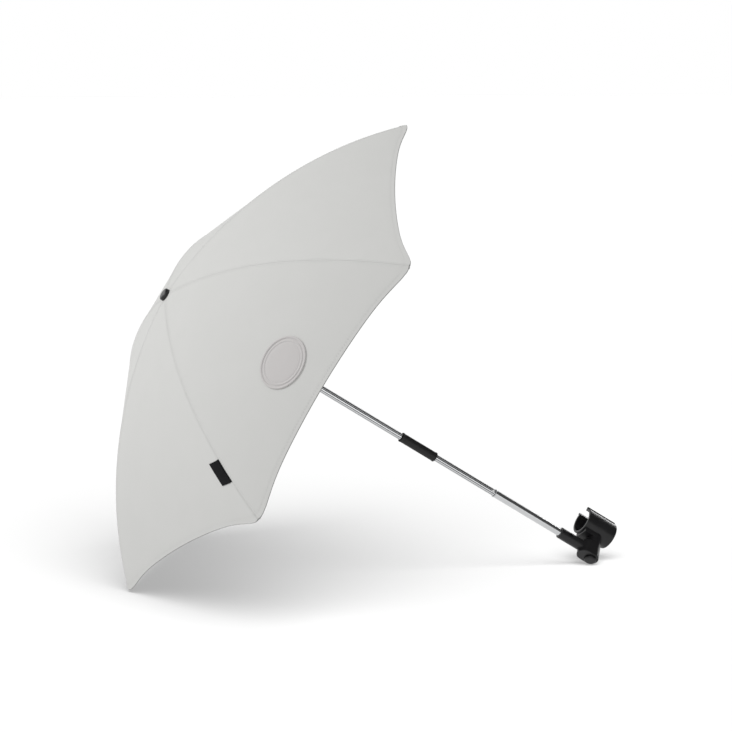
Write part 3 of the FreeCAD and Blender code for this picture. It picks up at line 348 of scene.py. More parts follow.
def new_piece(name, points, faces, material, closed=True):
    """A smooth mesh object from points in the shared frame, its faces looking outwards if it is closed."""
    mesh = bpy.data.meshes.new(name)
    mesh.from_pydata([tuple(point) for point in points], [], faces)
    mesh.materials.append(material)
    if closed:
        shape = bmesh.new()
        shape.from_mesh(mesh)
        bmesh.ops.recalc_face_normals(shape, faces=shape.faces)
        shape.to_mesh(mesh)
        shape.free()
    mesh.polygons.foreach_set("use_smooth", [True] * len(mesh.polygons))
    mesh.update()
    return add_object(name, mesh)


def grid_faces(rows, columns, closed_rows=False, closed_columns=False):
    """Quads over a grid of points, row after row."""
    faces = []
    for row in range(rows if closed_rows else rows - 1):
        below = (row + 1) % rows
        for column in range(columns if closed_columns else columns - 1):
            beside = (column + 1) % columns
            faces.append((row * columns + column, row * columns + beside,
                          below * columns + beside, below * columns + column))
    return faces


def set_map(piece, places):
    """A texture map in metres, one place for each point."""
    layer = piece.data.uv_layers.new(name=MAP_NAME)
    corners = np.zeros(len(piece.data.loops), np.int32)
    piece.data.loops.foreach_get("vertex_index", corners)
    layer.data.foreach_set("uv", np.asarray(places, np.float32)[corners].ravel())


def shade(piece, normals, flat_from):
    """Set the normals of a sheet, leaving the faces from one number on flat."""
    mesh = piece.data
    corner_normals = []
    for index, polygon in enumerate(mesh.polygons):
        for corner in polygon.vertices:
            corner_normals.append(tuple(normals[corner]) if index < flat_from else tuple(polygon.normal))
    mesh.normals_split_custom_set(corner_normals)


def unit(vectors):
    """Vectors made one long."""
    return vectors / np.maximum(np.linalg.norm(vectors, axis=-1, keepdims=True), 1e-12)


def smooth_step(value, low, high):
    """From 0 at low to 1 at high."""
    share = np.clip((value - low) / (high - low), 0, 1)
    return share * share * (3 - 2 * share)


# Canopy

class Gore:
    """The cloth that one rib carries, in the rib's own directions from the apex."""

    def __init__(self, rib):
        self.rib = rib
        self.body = "rib_body_%d" % rib
        self.tangent = joint_axis("rib_hinge_%d" % rib)
        self.basis = np.stack([np.cross(self.tangent, UP_POLE), self.tangent, UP_POLE])

    def place(self, local):
        """Points in the shared frame."""
        return APEX + local @ self.basis

    def turn(self, local):
        """Directions in the shared frame."""
        return local @ self.basis


def arc(hem_distance):
    """Radius, height and slope of the cloth over a rib, at a distance up from its hem."""
    angle = LAST_ANGLE - hem_distance / RIB_BEND
    return ARC_X + RIB_BEND * np.sin(angle), ARC_Z + RIB_BEND * np.cos(angle), angle


def half_width(hem_distance):
    """From the rib to the middle of the panel, across the rib."""
    radius, _, _ = arc(hem_distance)
    return radius * math.cos(HALF_STEP) * math.sin(HALF_STEP)


def cloth_points(hem_distance, across):
    """The cloth's outer face: up from the hem along the rib, and across from the rib."""
    radius, height, angle = arc(hem_distance)
    half = half_width(hem_distance)
    side = np.sign(across)
    share = np.abs(across) / half
    past = np.maximum(share - 1, 0)
    share = share - 2 * past
    ridge = RIDGE_ROUND / half
    sunk = np.sqrt(share ** 2 + ridge ** 2) / np.sqrt(1 + ridge ** 2)
    x = radius * (1 - math.sin(HALF_STEP) ** 2 * sunk)
    y = half * share
    z = height
    # The hem is cut in a curve, deepest in the middle of the panel.
    down_out = np.cos(angle) * math.cos(HALF_STEP)
    down_up = -np.sin(angle)
    size = np.sqrt(down_out ** 2 + down_up ** 2)
    along = 1 - hem_distance / RIB_LENGTH
    rise = HEM_RISE * along ** HEM_POWER * (2 * share - share ** 2)
    x = x - rise * down_out / size * math.cos(HALF_STEP)
    y = y - rise * down_out / size * math.sin(HALF_STEP)
    z = z - rise * down_up / size
    # The corner over the rib's tip is blunt.
    width = half * share
    blunt = math.tan(HALF_STEP) * (width - np.sqrt(width ** 2 + CORNER_ROUND ** 2) + CORNER_ROUND)
    blunt = blunt * np.exp(-(width / CORNER_SPREAD) ** 2)
    blunt = (blunt + TIP_COVER * np.exp(-(width / TIP_COVER_WIDTH) ** 2)) * along ** CORNER_POWER
    x = x + blunt * np.cos(angle)
    z = z - blunt * np.sin(angle)
    # Past the middle the neighbouring panel is the mirror image.
    over = past > 0
    mirror_x = x * math.cos(2 * HALF_STEP) + y * math.sin(2 * HALF_STEP)
    mirror_y = x * math.sin(2 * HALF_STEP) - y * math.cos(2 * HALF_STEP)
    x, y = np.where(over, mirror_x, x), np.where(over, mirror_y, y)
    return np.stack([x, y * np.where(side == 0, 1, side), z], -1)


def cloth_normals(hem_distance, across):
    """Which way the cloth's outer face looks."""
    step = NORMAL_STEP
    down = cloth_points(hem_distance - step, across) - cloth_points(hem_distance + step, across)
    sideways = cloth_points(hem_distance, across + step) - cloth_points(hem_distance, across - step)
    return unit(np.cross(down, sideways))


def gore_columns(hem_distance):
    """Distances across from the rib, close together at the seam, for every row."""
    half = half_width(hem_distance)[:, None] - PANEL_GAP
    near = SEAM_COLUMNS * np.minimum(1, SEAM_SHARE * half / SEAM_COLUMNS[-1])
    far = near[:, -1:] + (half - near[:, -1:]) * PANEL_SHARES
    right = np.concatenate([near, far], axis=1)
    return np.concatenate([-right[:, :0:-1], right], axis=1)


def crown_share(hem_distance):
    """The share of the seam's relief that is left near the crown."""
    return smooth_step(RIB_LENGTH - hem_distance, 0, CROWN_FADE)


def relief(hem_distance, across):
    """How far the folded hem and the seam over the rib stand out of the cloth."""
    hem = 1 - smooth_step(hem_distance, HEM_WIDTH - FADE, HEM_WIDTH + FADE)
    seam = 1 - smooth_step(np.abs(across), SEAM_WIDTH - FADE, SEAM_WIDTH + FADE)
    return HEM_WELT * hem + crown_share(hem_distance) * SEAM_WELT * seam


def groove(hem_distance, across):
    """How deep the line is along which the two panels meet over the rib."""
    return SEAM_GROOVE * crown_share(hem_distance) * (1 - smooth_step(np.abs(across), 0, GROOVE_WIDTH))


def cloth_depth(hem_distance, across):
    """How far the cloth's inner face lies under its plain outer face."""
    return CLOTH_THICK + INNER_WELT * relief(hem_distance, across)


def hem_rim(outer, inner, edge_out):
    """Points and normals of the rounded edge between the outer and the inner face at the hem."""
    middle = (outer + inner) / 2
    radius = (outer - inner) / 2
    thick = np.linalg.norm(radius, axis=-1, keepdims=True)
    points = [middle + radius * math.cos(turn) + edge_out * thick * math.sin(turn) for turn in HEM_TURNS]
    normals = [unit(radius) * math.cos(turn) + edge_out * math.sin(turn) for turn in HEM_TURNS]
    return np.array(points), np.array(normals)


def side_faces(rows, columns):
    """Faces down both sides of a gore, between its outer and its inner face and at its rim."""
    count = len(GORE_ROWS)
    loops = [(row, row + 1, rows - 2 - row, rows - 1 - row) for row in range(count - 1)]
    loops.append(range(count - 1, count + len(HEM_TURNS) + 1))
    faces = []
    for column in (0, columns - 1):
        for loop in loops:
            corners = [row * columns + column for row in loop]
            faces.append(tuple(corners if column else corners[::-1]))
    return faces


def make_gore(gore):
    """One gore of cloth with its thickness, rounded hem and seam."""
    across = gore_columns(GORE_ROWS)
    hem_distance = np.broadcast_to(GORE_ROWS[:, None], across.shape)
    surface = cloth_points(hem_distance, across)
    normals = cloth_normals(hem_distance, across)
    stand = relief(hem_distance, across) - groove(hem_distance, across)
    outer = surface + normals * stand[..., None]
    inner = surface - normals * cloth_depth(hem_distance, across)[..., None]
    edge_out = unit(surface[0] - surface[2])
    rim, rim_normals = hem_rim(outer[0], inner[0], edge_out)
    loop = np.concatenate([outer[::-1], rim, inner])
    loop_normals = np.concatenate([normals[::-1], rim_normals, -normals])
    distance = np.concatenate([hem_distance[::-1], np.zeros(rim.shape[:2]), hem_distance])
    width = np.concatenate([across[::-1], np.repeat(across[:1], len(rim), axis=0), across])
    rows, columns = width.shape
    faces = grid_faces(rows, columns, closed_rows=True)
    flat = len(faces)
    points = gore.place(loop.reshape(-1, 3))
    piece = new_piece("canopy_panel_%d" % gore.rib, points, faces + side_faces(rows, columns), CLOTH)
    # The faces round the hem's edge take the darker cloth, painted shade of the folded edge.
    piece.data.materials.append(HEM_EDGE_SHADE)
    count = len(GORE_ROWS)
    for index in range((count - 1) * (columns - 1), (count + len(rim)) * (columns - 1)):
        piece.data.polygons[index].material_index = 1
    set_map(piece, np.stack([width.ravel(), distance.ravel()], -1))
    shade(piece, gore.turn(loop_normals.reshape(-1, 3)), flat)
    return piece


def stitch_run(paths):
    """Stitches along paths on the cloth: points and faces of every stitch."""
    points, faces = [], []
    grid = grid_faces(len(STITCH_ENDS), len(STITCH_SIDES))
    for centre, along, out in paths:
        side = np.cross(out, along)
        faces += [tuple(len(points) + corner for corner in face[::-1]) for face in grid]
        for reach, rise in STITCH_ENDS:
            for turn in STITCH_SIDES:
                height = STITCH_RISE * (rise if abs(turn) < 1 else STITCH_FOOT)
                points.append(centre + along * STITCH_LENGTH * reach
                              + side * STITCH_WIDTH / 2 * turn + out * height)
    return points, faces


def stitch_places(steps, widths):
    """Each stitch's place on the cloth, its direction and the way out of the cloth."""
    normals = cloth_normals(steps, widths)
    centres = cloth_points(steps, widths) + normals * relief(steps, widths)[:, None]
    along = unit(np.gradient(centres, axis=0))
    return list(zip(centres, along, normals))


def seam_paths(across):
    """Places of the stitches along a rib, at a distance across from it."""
    steps = np.arange(SEAM_STITCH_FOOT, RIB_LENGTH - SEAM_STITCH_HEAD, STITCH_PITCH)
    return stitch_places(steps, np.full_like(steps, across))


def hem_paths():
    """Places of the stitches along a hem, on both sides of the rib."""
    up_hem = HEM_WIDTH - HEM_STITCH
    half = float(half_width(up_hem))
    count = int(2 * half / STITCH_PITCH)
    widths = (np.arange(count) + 0.5) / count * 2 * half - half
    return stitch_places(np.full_like(widths, up_hem), widths)


def make_stitches(gore):
    """The thread of one gore: two rows beside the rib's seam and one along the hem."""
    points, faces = stitch_run(seam_paths(SEAM_STITCH) + seam_paths(-SEAM_STITCH) + hem_paths())
    points = np.array(points)
    piece = new_piece("canopy_stitches_%d" % gore.rib, gore.place(points), faces, THREAD, closed=False)
    set_map(piece, points[:, 1:])
    return piece


def fold_with_rib(piece, gore):
    """Carry cloth on its rib."""
    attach(piece, gore.body)
    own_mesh(piece)


def sheet_faces(rows, columns):
    """Faces of a thin closed sheet: its top grid, its under grid after that, and the border between them."""
    count = rows * columns
    faces = grid_faces(rows, columns)
    faces += [tuple(count + corner for corner in face[::-1]) for face in grid_faces(rows, columns)]
    border = list(range(columns))
    border += [row * columns + columns - 1 for row in range(1, rows)]
    border += [(rows - 1) * columns + column for column in range(columns - 2, -1, -1)]
    border += [row * columns for row in range(rows - 2, 0, -1)]
    for index, corner in enumerate(border):
        beside = border[(index + 1) % len(border)]
        faces.append((beside, corner, count + corner, count + beside))
    return faces


def thin_sheet(name, gore, top, under, places, material):
    """A closed sheet between two grids of points, with a map place for each point of a grid."""
    points = np.concatenate([top.reshape(-1, 3), under.reshape(-1, 3)])
    piece = new_piece(name, gore.place(points), sheet_faces(*top.shape[:2]), material)
    set_map(piece, np.tile(np.stack([place.ravel() for place in places], -1), (2, 1)))
    return piece


def hem_distance_at(reach):
    """How far up from the hem a place lies whose radius is short of the tip's by a reach."""
    angle = np.arcsin((CANOPY_RADIUS - reach - ARC_X) / RIB_BEND)
    return RIB_BEND * (LAST_ANGLE - angle)


def make_lining(gore, name):
    """A ring of the lining under the crown, which covers the folds' openings when the canopy is shut."""
    rows, columns = LINING_GRID
    inner, outer, keep, layer = LININGS[name]
    radii = np.linspace(inner, outer, rows)
    shares = np.linspace(-1, 1, columns)
    down, wide = np.meshgrid(hem_distance_at(CANOPY_RADIUS - radii), shares, indexing="ij")
    across = wide * (half_width(down) - PANEL_GAP)
    normals = cloth_normals(down, across)
    sink = cloth_depth(down, across) + layer * LINING_GAP + (layer - 1) * LINING_THICK
    top = cloth_points(down, across) - normals * sink[..., None]
    under = top - normals * LINING_THICK
    piece = thin_sheet("%s_%d" % (name, gore.rib), gore, top, under, (across, down), CLOTH)
    facing = np.concatenate([normals.reshape(-1, 3), -normals.reshape(-1, 3)])
    shade(piece, gore.turn(facing), 2 * (rows - 1) * (columns - 1))
    fold_with_rib(piece, gore)


def make_canopy():
    """Six gores of cloth, sewn along the ribs."""
    for rib in RIBS:
        gore = Gore(rib)
        cloth = make_gore(gore)
        stitches = make_stitches(gore)
        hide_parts("canopy_gore_%d" % rib)
        fold_with_rib(cloth, gore)
        fold_with_rib(stitches, gore)
        for name in LININGS:
            make_lining(gore, name)


# Patch and label

PATCH_REACH = 0.060
# The patch is slightly oval: shares of its profile's radius, across the panel and towards the crown
PATCH_WIDTH = 0.90
PATCH_HEIGHT = 1.04
PATCH_FOOT = -0.0002
PATCH_RISE = 0.75
LABEL_WIDTH = 0.020
LABEL_LENGTH = 0.036
LABEL_REACH = 0.058
LABEL_THICK = 0.0008
LABEL_ASIDE = 0.0102
LABEL_GRID = (25, 17)
LABEL_EDGE = 0.0012
LABEL_EDGE_SHARE = 0.55
SEWN_GAP = 0.0003
TRIM_SINK = 0.0002
PATCH_SEGMENTS = 96


def patch_profile():
    """Radius and height of the patch: out under it, up the rolled rim, then over two rings to the middle."""
    under = [(0.0040, PATCH_FOOT), (0.0140, PATCH_FOOT), (0.0240, PATCH_FOOT)]
    rim = [(0.03400, PATCH_FOOT), (0.03410, 0.0008), (0.03390, 0.0017), (0.03340, 0.0023), (0.03270, 0.0025),
           (0.03190, 0.0023), (0.03130, 0.0017), (0.03090, 0.0010), (0.03030, 0.0008)]
    ring = [(0.02960, 0.0010), (0.02910, 0.0016), (0.02850, 0.0020), (0.02760, 0.0020), (0.02700, 0.0016),
            (0.02650, 0.0012), (0.02580, 0.0012)]
    field = [(0.02520, 0.0015), (0.02400, 0.0017), (0.0200, 0.0018), (0.0140, 0.0019), (0.0080, 0.0020),
             (0.0040, 0.0020)]
    return under + rim + ring + field


def make_patch(gore):
    """The round plain patch in the middle of the panel after the label's seam."""
    segments = PATCH_SEGMENTS
    up_hem = hem_distance_at(PATCH_REACH)
    angles = np.arange(segments) / segments * math.tau
    points, places = [], []

    def add_ring(radius, rise, turns):
        wide = PATCH_WIDTH * radius * np.cos(turns)
        high = PATCH_HEIGHT * radius * np.sin(turns)
        distance = up_hem + high
        across = half_width(distance) + wide
        points.extend(cloth_points(distance, across) + cloth_normals(distance, across) * rise)
        places.extend(zip(wide, high))

    profile = patch_profile()
    for radius, rise in profile:
        add_ring(radius, PATCH_RISE * rise, angles)
    add_ring(0, PATCH_RISE * profile[0][1], np.zeros(1))
    add_ring(0, PATCH_RISE * profile[-1][1], np.zeros(1))
    rings = len(profile)
    faces = grid_faces(rings, segments, closed_columns=True)
    for ring, middle in ((0, rings * segments), (rings - 1, rings * segments + 1)):
        first = ring * segments
        faces += [(first + index, first + (index + 1) % segments, middle) for index in range(segments)]
    piece = new_piece("round_patch", gore.place(np.array(points)), faces, PATCH)
    set_map(piece, places)
    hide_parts("patch")
    fold_with_rib(piece, gore)


def make_label(gore):
    """The blank woven label, caught in the seam by one side and lying on the panel beside it."""
    rows, columns = LABEL_GRID
    up_hem = hem_distance_at(LABEL_REACH)
    down, wide = np.meshgrid(np.linspace(-0.5, 0.5, rows), np.linspace(-0.5, 0.5, columns), indexing="ij")
    distance = up_hem - down * LABEL_LENGTH
    across = wide * LABEL_WIDTH - LABEL_ASIDE
    surface = cloth_points(distance, across)
    normals = cloth_normals(distance, across)
    edge = np.minimum((0.5 - np.abs(down)) * LABEL_LENGTH, (0.5 - np.abs(wide)) * LABEL_WIDTH)
    puff = LABEL_EDGE_SHARE + (1 - LABEL_EDGE_SHARE) * smooth_step(edge, 0, LABEL_EDGE)
    lift = relief(distance, across)
    top = surface + normals * (lift + SEWN_GAP + LABEL_THICK * puff)[..., None]
    under = surface + normals * (lift - TRIM_SINK)[..., None]
    piece = thin_sheet("woven_label", gore, top, under, (across, distance), LABEL)
    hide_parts("label")
    fold_with_rib(piece, gore)


# Tubes, their rolled mouth, and the sleeve over the bending joint

# A direction that lies along no turned form's axis
OFF_AXIS = np.array([0.31, 0.87, 0.38])
AXIS_RADIUS = 0.00001
SLEEVE_WALL = 0.0011
SLEEVE_LIP = 0.0025
SLEEVE_BEAD = 0.0002
SLEEVE_STEPS = 41
MOUTH_HALF_LENGTH = 0.0008
MOUTH_HALF_THICK = 0.0004
MOUTH_BELOW = 0.0005
MOUTH_PROUD = 0.0001
MOUTH_STEPS = 12


def node_points(node):
    """The points of a CAD piece in the shared frame."""
    piece = frame["nodes"][node]
    return np.array([piece.matrix_world @ vertex.co for vertex in piece.data.vertices])


def along_pole(node):
    """The stretch of the pole that a node takes up, from the swivel, and its largest radius."""
    points = node_points(node) - SWIVEL
    height = points @ UP_POLE
    radius = np.linalg.norm(points - np.outer(height, UP_POLE), axis=1)
    return height.min(), height.max(), radius.max()


def paint_flute_shade():
    """Give the two fluted tubes chrome with painted shade down in the flutes."""
    _, _, radius = along_pole("upper_tube")
    shaded_chrome = flute_shade_material("fluted_chrome_painted_shade", SWIVEL, UP_POLE, radius)
    for node in ("upper_tube", "middle_tube"):
        frame["nodes"][node].data.materials[0] = shaded_chrome


def turned(name, origin, axis, profile, material, segments=48):
    """A closed turned form about a line from heights and radii, going up outside and back down inside."""
    side = unit(np.cross(axis, OFF_AXIS))
    other = np.cross(axis, side)
    angles = np.arange(segments) / segments * math.tau
    ring = np.outer(np.cos(angles), side) + np.outer(np.sin(angles), other)
    points = np.concatenate([origin + axis * height + ring * radius for height, radius in profile])
    faces = grid_faces(len(profile), segments, closed_rows=True, closed_columns=True)
    return new_piece(name, points, faces, material)


def make_sleeve():
    """The soft sleeve: thick rolled ends and a straight middle."""
    low, high, radius = along_pole("tilt_sleeve")
    # Points of a rolled end and of its mouth: how far in from the end, and out from the CAD sleeve's face
    rolled = [(0, -0.0005), (0.0003, -0.0001), (0.0008, SLEEVE_BEAD), (SLEEVE_LIP - 0.0005, SLEEVE_BEAD)]
    mouth = [(0, 0.0003 - SLEEVE_WALL), (0.0004, -SLEEVE_WALL)]
    steps = np.linspace(low + SLEEVE_LIP, high - SLEEVE_LIP, SLEEVE_STEPS)
    outside = [(low + inward, radius + out) for inward, out in rolled]
    outside += [(step, radius - SLEEVE_BEAD) for step in steps]
    outside += [(high - inward, radius + out) for inward, out in rolled[::-1]]
    inside = [(high - inward, radius + out) for inward, out in mouth]
    inside += [(step, radius - SLEEVE_WALL) for step in steps[::-1]]
    inside += [(low + inward, radius + out) for inward, out in mouth[::-1]]
    piece = turned("bend_sleeve", SWIVEL, UP_POLE, outside + inside, RUBBER)
    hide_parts("tilt_sleeve")
    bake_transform(piece)


def make_tube_mouth():
    """The rolled edge round the lower tube's mouth."""
    _, mouth, radius = along_pole("lower_tube")
    profile = []
    for turn in np.arange(MOUTH_STEPS) / MOUTH_STEPS * math.tau:
        height = mouth - MOUTH_BELOW + MOUTH_HALF_LENGTH * math.sin(turn)
        profile.append((height, radius + MOUTH_PROUD + MOUTH_HALF_THICK * math.cos(turn)))
    piece = turned("tube_mouth", SWIVEL, UP_POLE, profile, STEEL)
    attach(piece, "knuckle")


# Springs and catches

BUTTON_FLANGE_SHARE = 0.25
BUTTON_DOME_SHARE = 0.3
BUTTON_DOME_STEPS = 7
LEAF_SHOULDER_SHARE = 0.6
LEAF_SHOULDER_DROP = 0.002
LEAF_CORNER_DROP = 0.0006
LEAF_CORNER_IN = 0.0004
COIL_TURNS = 3
STEPS_A_TURN = 24
COIL_SIDES = 8


def from_pole(node):
    """The direction in which a small piece stands off the pole, and its points' reach and height."""
    points = node_points(node) - SWIVEL
    height = points @ UP_POLE
    flat = points - np.outer(height, UP_POLE)
    direction = unit(flat.mean(axis=0))
    return direction, flat @ direction, height


def make_snap_button():
    """The round button at the lower tube's mouth, which goes in when the pole is pushed together."""
    direction, reach, height = from_pole("snap_catch")
    foot, head = reach.min(), reach.max()
    base = (height.max() - height.min()) / 2
    middle = (height.max() + height.min()) / 2
    upper = height[reach > (foot + head) / 2]
    radius = (upper.max() - upper.min()) / 2
    flange = foot + BUTTON_FLANGE_SHARE * (head - foot)
    dome = BUTTON_DOME_SHARE * radius
    profile = [(foot, AXIS_RADIUS), (foot, base), (flange, base), (flange, radius)]
    for turn in np.linspace(0, math.pi / 2, BUTTON_DOME_STEPS)[:-1]:
        profile.append((head - dome + dome * math.sin(turn), radius - dome + dome * math.cos(turn)))
    profile.append((head, AXIS_RADIUS))
    origin = SWIVEL + UP_POLE * middle
    # The button's near-white colour is a painted highlight of its bright metal
    piece = turned("snap_button", origin, direction, profile, BUTTON_HIGHLIGHT, segments=32)
    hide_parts("snap_catch")
    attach(piece, "middle_pole")
    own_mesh(piece)


def make_runner_leaf():
    """The spring leaf under the runner, which goes in when the runner slides down."""
    direction, reach, height = from_pole("runner_catch")
    side = np.cross(UP_POLE, direction)
    half = np.abs((node_points("runner_catch") - SWIVEL) @ side).max()
    foot, head = reach.min(), reach.max()
    low, high = height.min(), height.max()
    flush = along_pole("upper_tube")[2]
    shoulder = flush + LEAF_SHOULDER_SHARE * (head - flush)
    outline = [(foot, low), (flush, low), (shoulder, high - LEAF_SHOULDER_DROP),
               (head, high - LEAF_CORNER_DROP), (head - LEAF_CORNER_IN, high), (foot, high)]
    count = len(outline)
    points = [SWIVEL + direction * out + UP_POLE * up + side * half * way
              for way in (-1, 1) for out, up in outline]
    faces = [tuple(range(count)), tuple(range(2 * count - 1, count - 1, -1))]
    for index in range(count):
        beside = (index + 1) % count
        faces.append((index, beside, count + beside, count + index))
    piece = new_piece("runner_leaf", points, faces, STEEL)
    piece.data.polygons.foreach_set("use_smooth", [False] * len(faces))
    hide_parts("runner_catch")
    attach(piece, "upper_pole")
    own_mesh(piece)


def make_button_spring():
    """The coil under the push button, which shortens as the button goes in."""
    push = joint_axis("button_press")
    points = node_points("button_spring")
    reach = points @ push
    centre = points.mean(axis=0)
    flat = points - centre
    flat = flat - np.outer(flat @ push, push)
    distance = np.linalg.norm(flat, axis=1)
    wire = (distance.max() - distance.min()) / 2
    radius = (distance.max() + distance.min()) / 2
    side = unit(flat[0])
    other = np.cross(push, side)
    start, end = reach.min() + wire, reach.max() - wire
    steps = COIL_TURNS * STEPS_A_TURN + 1
    coil = []
    for share in np.linspace(0, 1, steps):
        turn = share * COIL_TURNS * math.tau
        out = side * math.cos(turn) + other * math.sin(turn)
        middle = centre + push * (start + share * (end - start) - centre @ push) + out * radius
        for index in range(COIL_SIDES):
            angle = index / COIL_SIDES * math.tau
            coil.append(middle + (out * math.cos(angle) + push * math.sin(angle)) * wire)
    faces = grid_faces(steps, COIL_SIDES, closed_columns=True)
    faces += [tuple(range(COIL_SIDES)), tuple(range(len(coil) - 1, len(coil) - COIL_SIDES - 1, -1))]
    piece = new_piece("spring_coil", coil, faces, STEEL)
    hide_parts("button_spring")
    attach(piece, "knuckle")
    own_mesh(piece)


# Studio

# The camera, with its sensor in millimetres
PHOTO_SIZE = 732
FOCAL_PIXELS = 2641
SENSOR = 36
CAMERA_YAW = math.radians(18.302)
CAMERA_PITCH = math.radians(6.70)
CAMERA_EYE = (-1.4589, -3.3825, 0.6615)
CAMERA_REACH = 200
# The white surroundings and the floor
WHITE = (1, 1, 1, 1)
QUAD = [(0, 1, 2, 3)]
WORLD_LIGHT = 0.62
FLOOR_HALF = 40
FLOOR_DROP = 0.001
FLOOR_LIGHT = 0.66
FLOOR_WHITE = 1.02
# The lamps, one for the shadow on the floor and one for the object
LAMP_AWAY = 3
SHADOW_DEPTH = 0.62
SHADOW_LAMP = 8
SHADOW_SOFTNESS = math.radians(52)
SHADOW_FROM = (-0.10, -0.62, 0.80)
KEY_LIGHT = 0.43
KEY_FROM = (-0.80, 0.12, 0.58)
KEY_SOFTNESS = math.radians(28)
# The cards over the pole: places along it from the swivel, and across it from the front to the back
CARD_HEIGHT = 1.0
CARD_ALONG = (-3.0, 2.0)
CARD_SHADE = 0.07
CARD_FRONT = -7.0
CARD_BACK = 6.0
STRIP = (0.65, 1.35)
STRIP_LIGHT = 7
STRIP_END = -0.62
TUBE_STRIP_LIGHT = 0.9
LINE = (-0.95, -0.55)
LINE_LIGHT = 1.0
LINE_ALONG = (-0.18, 2.0)
LINE_DROP = 0.02
# The grey card on the floor
FLOOR_CARD_RISE = 0.0004
FLOOR_CARD_SHADE = 0.72
FLOOR_CARD_FRONT = -0.6
FLOOR_CARD_HALF = 3


def make_camera():
    """The camera where the photograph was taken from."""
    data = bpy.data.cameras.new("camera")
    data.sensor_width = SENSOR
    data.lens = FOCAL_PIXELS * SENSOR / PHOTO_SIZE
    data.clip_end = CAMERA_REACH
    camera = add_object("camera", data)
    forward = Vector((math.sin(CAMERA_YAW) * math.cos(CAMERA_PITCH),
                      math.cos(CAMERA_YAW) * math.cos(CAMERA_PITCH), -math.sin(CAMERA_PITCH)))
    camera.location = CAMERA_EYE
    camera.rotation_mode = "QUATERNION"
    camera.rotation_quaternion = forward.to_track_quat("-Z", "Y")
    bpy.context.scene.camera = camera


def empty_tree(owner):
    """The nodes of a material or a world, cleared."""
    owner.use_nodes = True
    owner.node_tree.nodes.clear()
    return owner.node_tree


def seen_directly(tree):
    """One for rays that show the background itself: from the camera, a mirror or through glass."""
    path = add_node(tree, "LightPath", {})
    total = path.outputs["Is Camera Ray"]
    for output in ("Is Glossy Ray", "Is Transmission Ray"):
        total = add_node(tree, "Math", {0: total, 1: path.outputs[output]}, "MAXIMUM").outputs[0]
    return total


def show(tree, end, light, seen):
    """Join the light that a background gives and what is seen of it to the end of its nodes."""
    mix = add_node(tree, "MixShader", {"Fac": seen_directly(tree), 1: light.outputs[0], 2: seen.outputs[0]})
    add_node(tree, end, {"Surface": mix.outputs[0]})


def make_world():
    """A white studio all round."""
    world = bpy.data.worlds.new("studio")
    tree = empty_tree(world)
    light = add_node(tree, "Background", {"Color": WHITE, "Strength": WORLD_LIGHT})
    white = add_node(tree, "Background", {"Color": WHITE})
    show(tree, "OutputWorld", light, white)
    bpy.context.scene.world = world


def make_lamp(name, level, softness, direction, receivers):
    """A far, soft lamp that adds a level of light to what faces it, kept to some receivers."""
    data = bpy.data.lights.new(name, "SUN")
    data.energy = math.pi * level
    data.angle = softness
    lamp = add_object(name, data)
    lamp.location = Vector(direction) * LAMP_AWAY
    lamp.rotation_mode = "QUATERNION"
    lamp.rotation_quaternion = Vector(direction).to_track_quat("Z", "Y")
    lamp.light_linking.receiver_collection = receivers


def keep_under(floor):
    """Let the floor give way to the rib tips and the cap where the pole swings down below its rest."""
    for node in ["rib_tip_%d" % rib for rib in RIBS] + ["finial_cap"]:
        points = node_points(node)
        marker = add_object("lowest_" + node, None)
        marker.parent = frame["nodes"][node]
        marker.location = points[np.linalg.norm(points - SWIVEL, axis=1).argmax()]
        limit = floor.constraints.new("FLOOR")
        limit.target = marker
        limit.floor_location = "FLOOR_NEGATIVE_Z"


def floor_material():
    """White to the camera but for the shadow, and a soft bounce to everything else."""
    material = bpy.data.materials.new("studio_floor")
    tree = empty_tree(material)
    grey = SHADOW_DEPTH / (WORLD_LIGHT + SHADOW_LAMP)
    bounce = add_node(tree, "Emission", {"Strength": FLOOR_LIGHT})
    shadow = add_node(tree, "BsdfDiffuse", {"Color": (grey, grey, grey, 1)})
    white = add_node(tree, "Emission", {"Strength": FLOOR_WHITE - SHADOW_DEPTH})
    shown = add_node(tree, "AddShader", {0: shadow.outputs[0], 1: white.outputs[0]})
    show(tree, "OutputMaterial", bounce, shown)
    return material


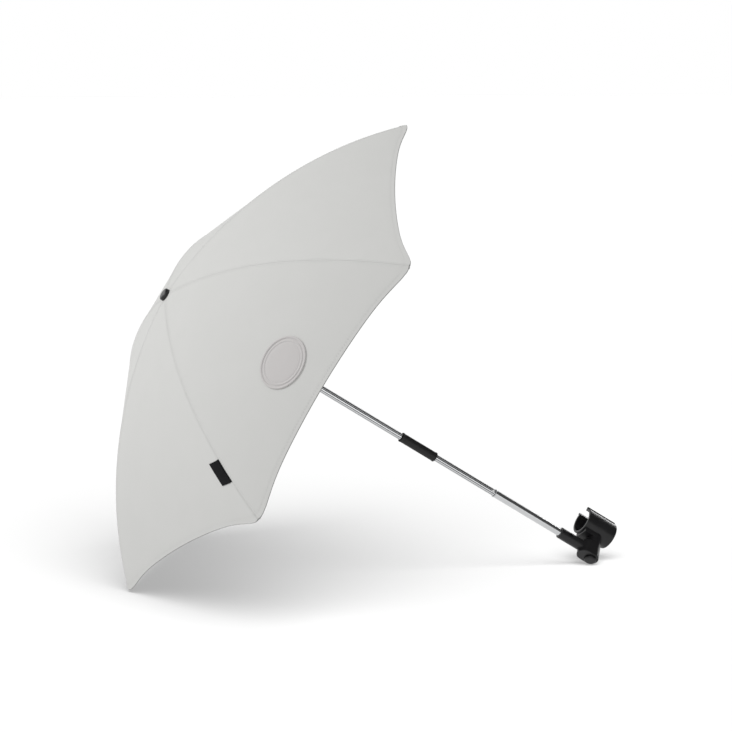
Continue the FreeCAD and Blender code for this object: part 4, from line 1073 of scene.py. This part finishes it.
def make_floor():
    """A white floor that keeps the object's shadow, under a lamp that lights only the floor."""
    corners = [(-FLOOR_HALF, -FLOOR_HALF, 0), (FLOOR_HALF, -FLOOR_HALF, 0),
               (FLOOR_HALF, FLOOR_HALF, 0), (-FLOOR_HALF, FLOOR_HALF, 0)]
    floor = new_piece("floor", corners, QUAD, floor_material(), closed=False)
    floor.location.z = cad_low.z - FLOOR_DROP
    keep_under(floor)
    only_floor = bpy.data.collections.new("only_floor")
    only_floor.objects.link(floor)
    shadow_level = SHADOW_LAMP / Vector(SHADOW_FROM).normalized().z
    make_lamp("shadow_lamp", shadow_level, SHADOW_SOFTNESS, SHADOW_FROM, only_floor)
    not_floor = bpy.data.collections.new("not_floor")
    not_floor.objects.link(floor)
    not_floor.collection_objects[0].light_linking.link_state = "EXCLUDE"
    make_lamp("key_lamp", KEY_LIGHT, KEY_SOFTNESS, KEY_FROM, not_floor)


def make_card(name, level, corners):
    """A card that only shows as a reflection in the tubes and mouldings."""
    material = bpy.data.materials.new(name)
    tree = empty_tree(material)
    paint = add_node(tree, "Emission", {"Strength": level})
    add_node(tree, "OutputMaterial", {"Surface": paint.outputs[0]})
    card = new_piece(name, corners, QUAD, material, closed=False)
    card.visible_camera = False
    card.visible_diffuse = False
    card.visible_transmission = False
    card.visible_shadow = False


def make_cards():
    """A dark card over the pole with bright strips, and a grey card on the floor."""
    sideways = np.array([0.0, 1.0, 0.0])
    over = np.cross(sideways, UP_POLE)
    cards = {"front_card": (CARD_SHADE, CARD_HEIGHT, CARD_ALONG, (CARD_FRONT, STRIP[0])),
             "clip_strip": (STRIP_LIGHT, CARD_HEIGHT, (CARD_ALONG[0], STRIP_END), STRIP),
             "tube_strip": (TUBE_STRIP_LIGHT, CARD_HEIGHT, (STRIP_END, CARD_ALONG[1]), STRIP),
             "back_card": (CARD_SHADE, CARD_HEIGHT, CARD_ALONG, (STRIP[1], CARD_BACK)),
             "line_card": (LINE_LIGHT, CARD_HEIGHT - LINE_DROP, LINE_ALONG, LINE)}
    for name, (level, height, (foot, head), (near, far)) in cards.items():
        middle = SWIVEL + over * height
        make_card(name, level, [middle + UP_POLE * along + sideways * across
                                for along, across in ((foot, near), (head, near), (head, far), (foot, far))])
    low = cad_low.z - FLOOR_DROP + FLOOR_CARD_RISE
    front, half = FLOOR_CARD_FRONT, FLOOR_CARD_HALF
    make_card("floor_card", FLOOR_CARD_SHADE,
              [(-half, front, low), (half, front, low), (half, half, low), (-half, half, low)])


def make_studio():
    """World, floor, cards and camera."""
    bpy.context.scene.view_settings.view_transform = "Standard"
    make_world()
    make_floor()
    make_cards()
    make_camera()


finish_nodes()
paint_flute_shade()
make_canopy()
label_gore = Gore(LABEL_RIB)
make_patch(label_gore)
make_label(label_gore)
make_sleeve()
make_snap_button()
make_tube_mouth()
make_runner_leaf()
make_button_spring()
make_studio()

bpy.context.view_layer.update()
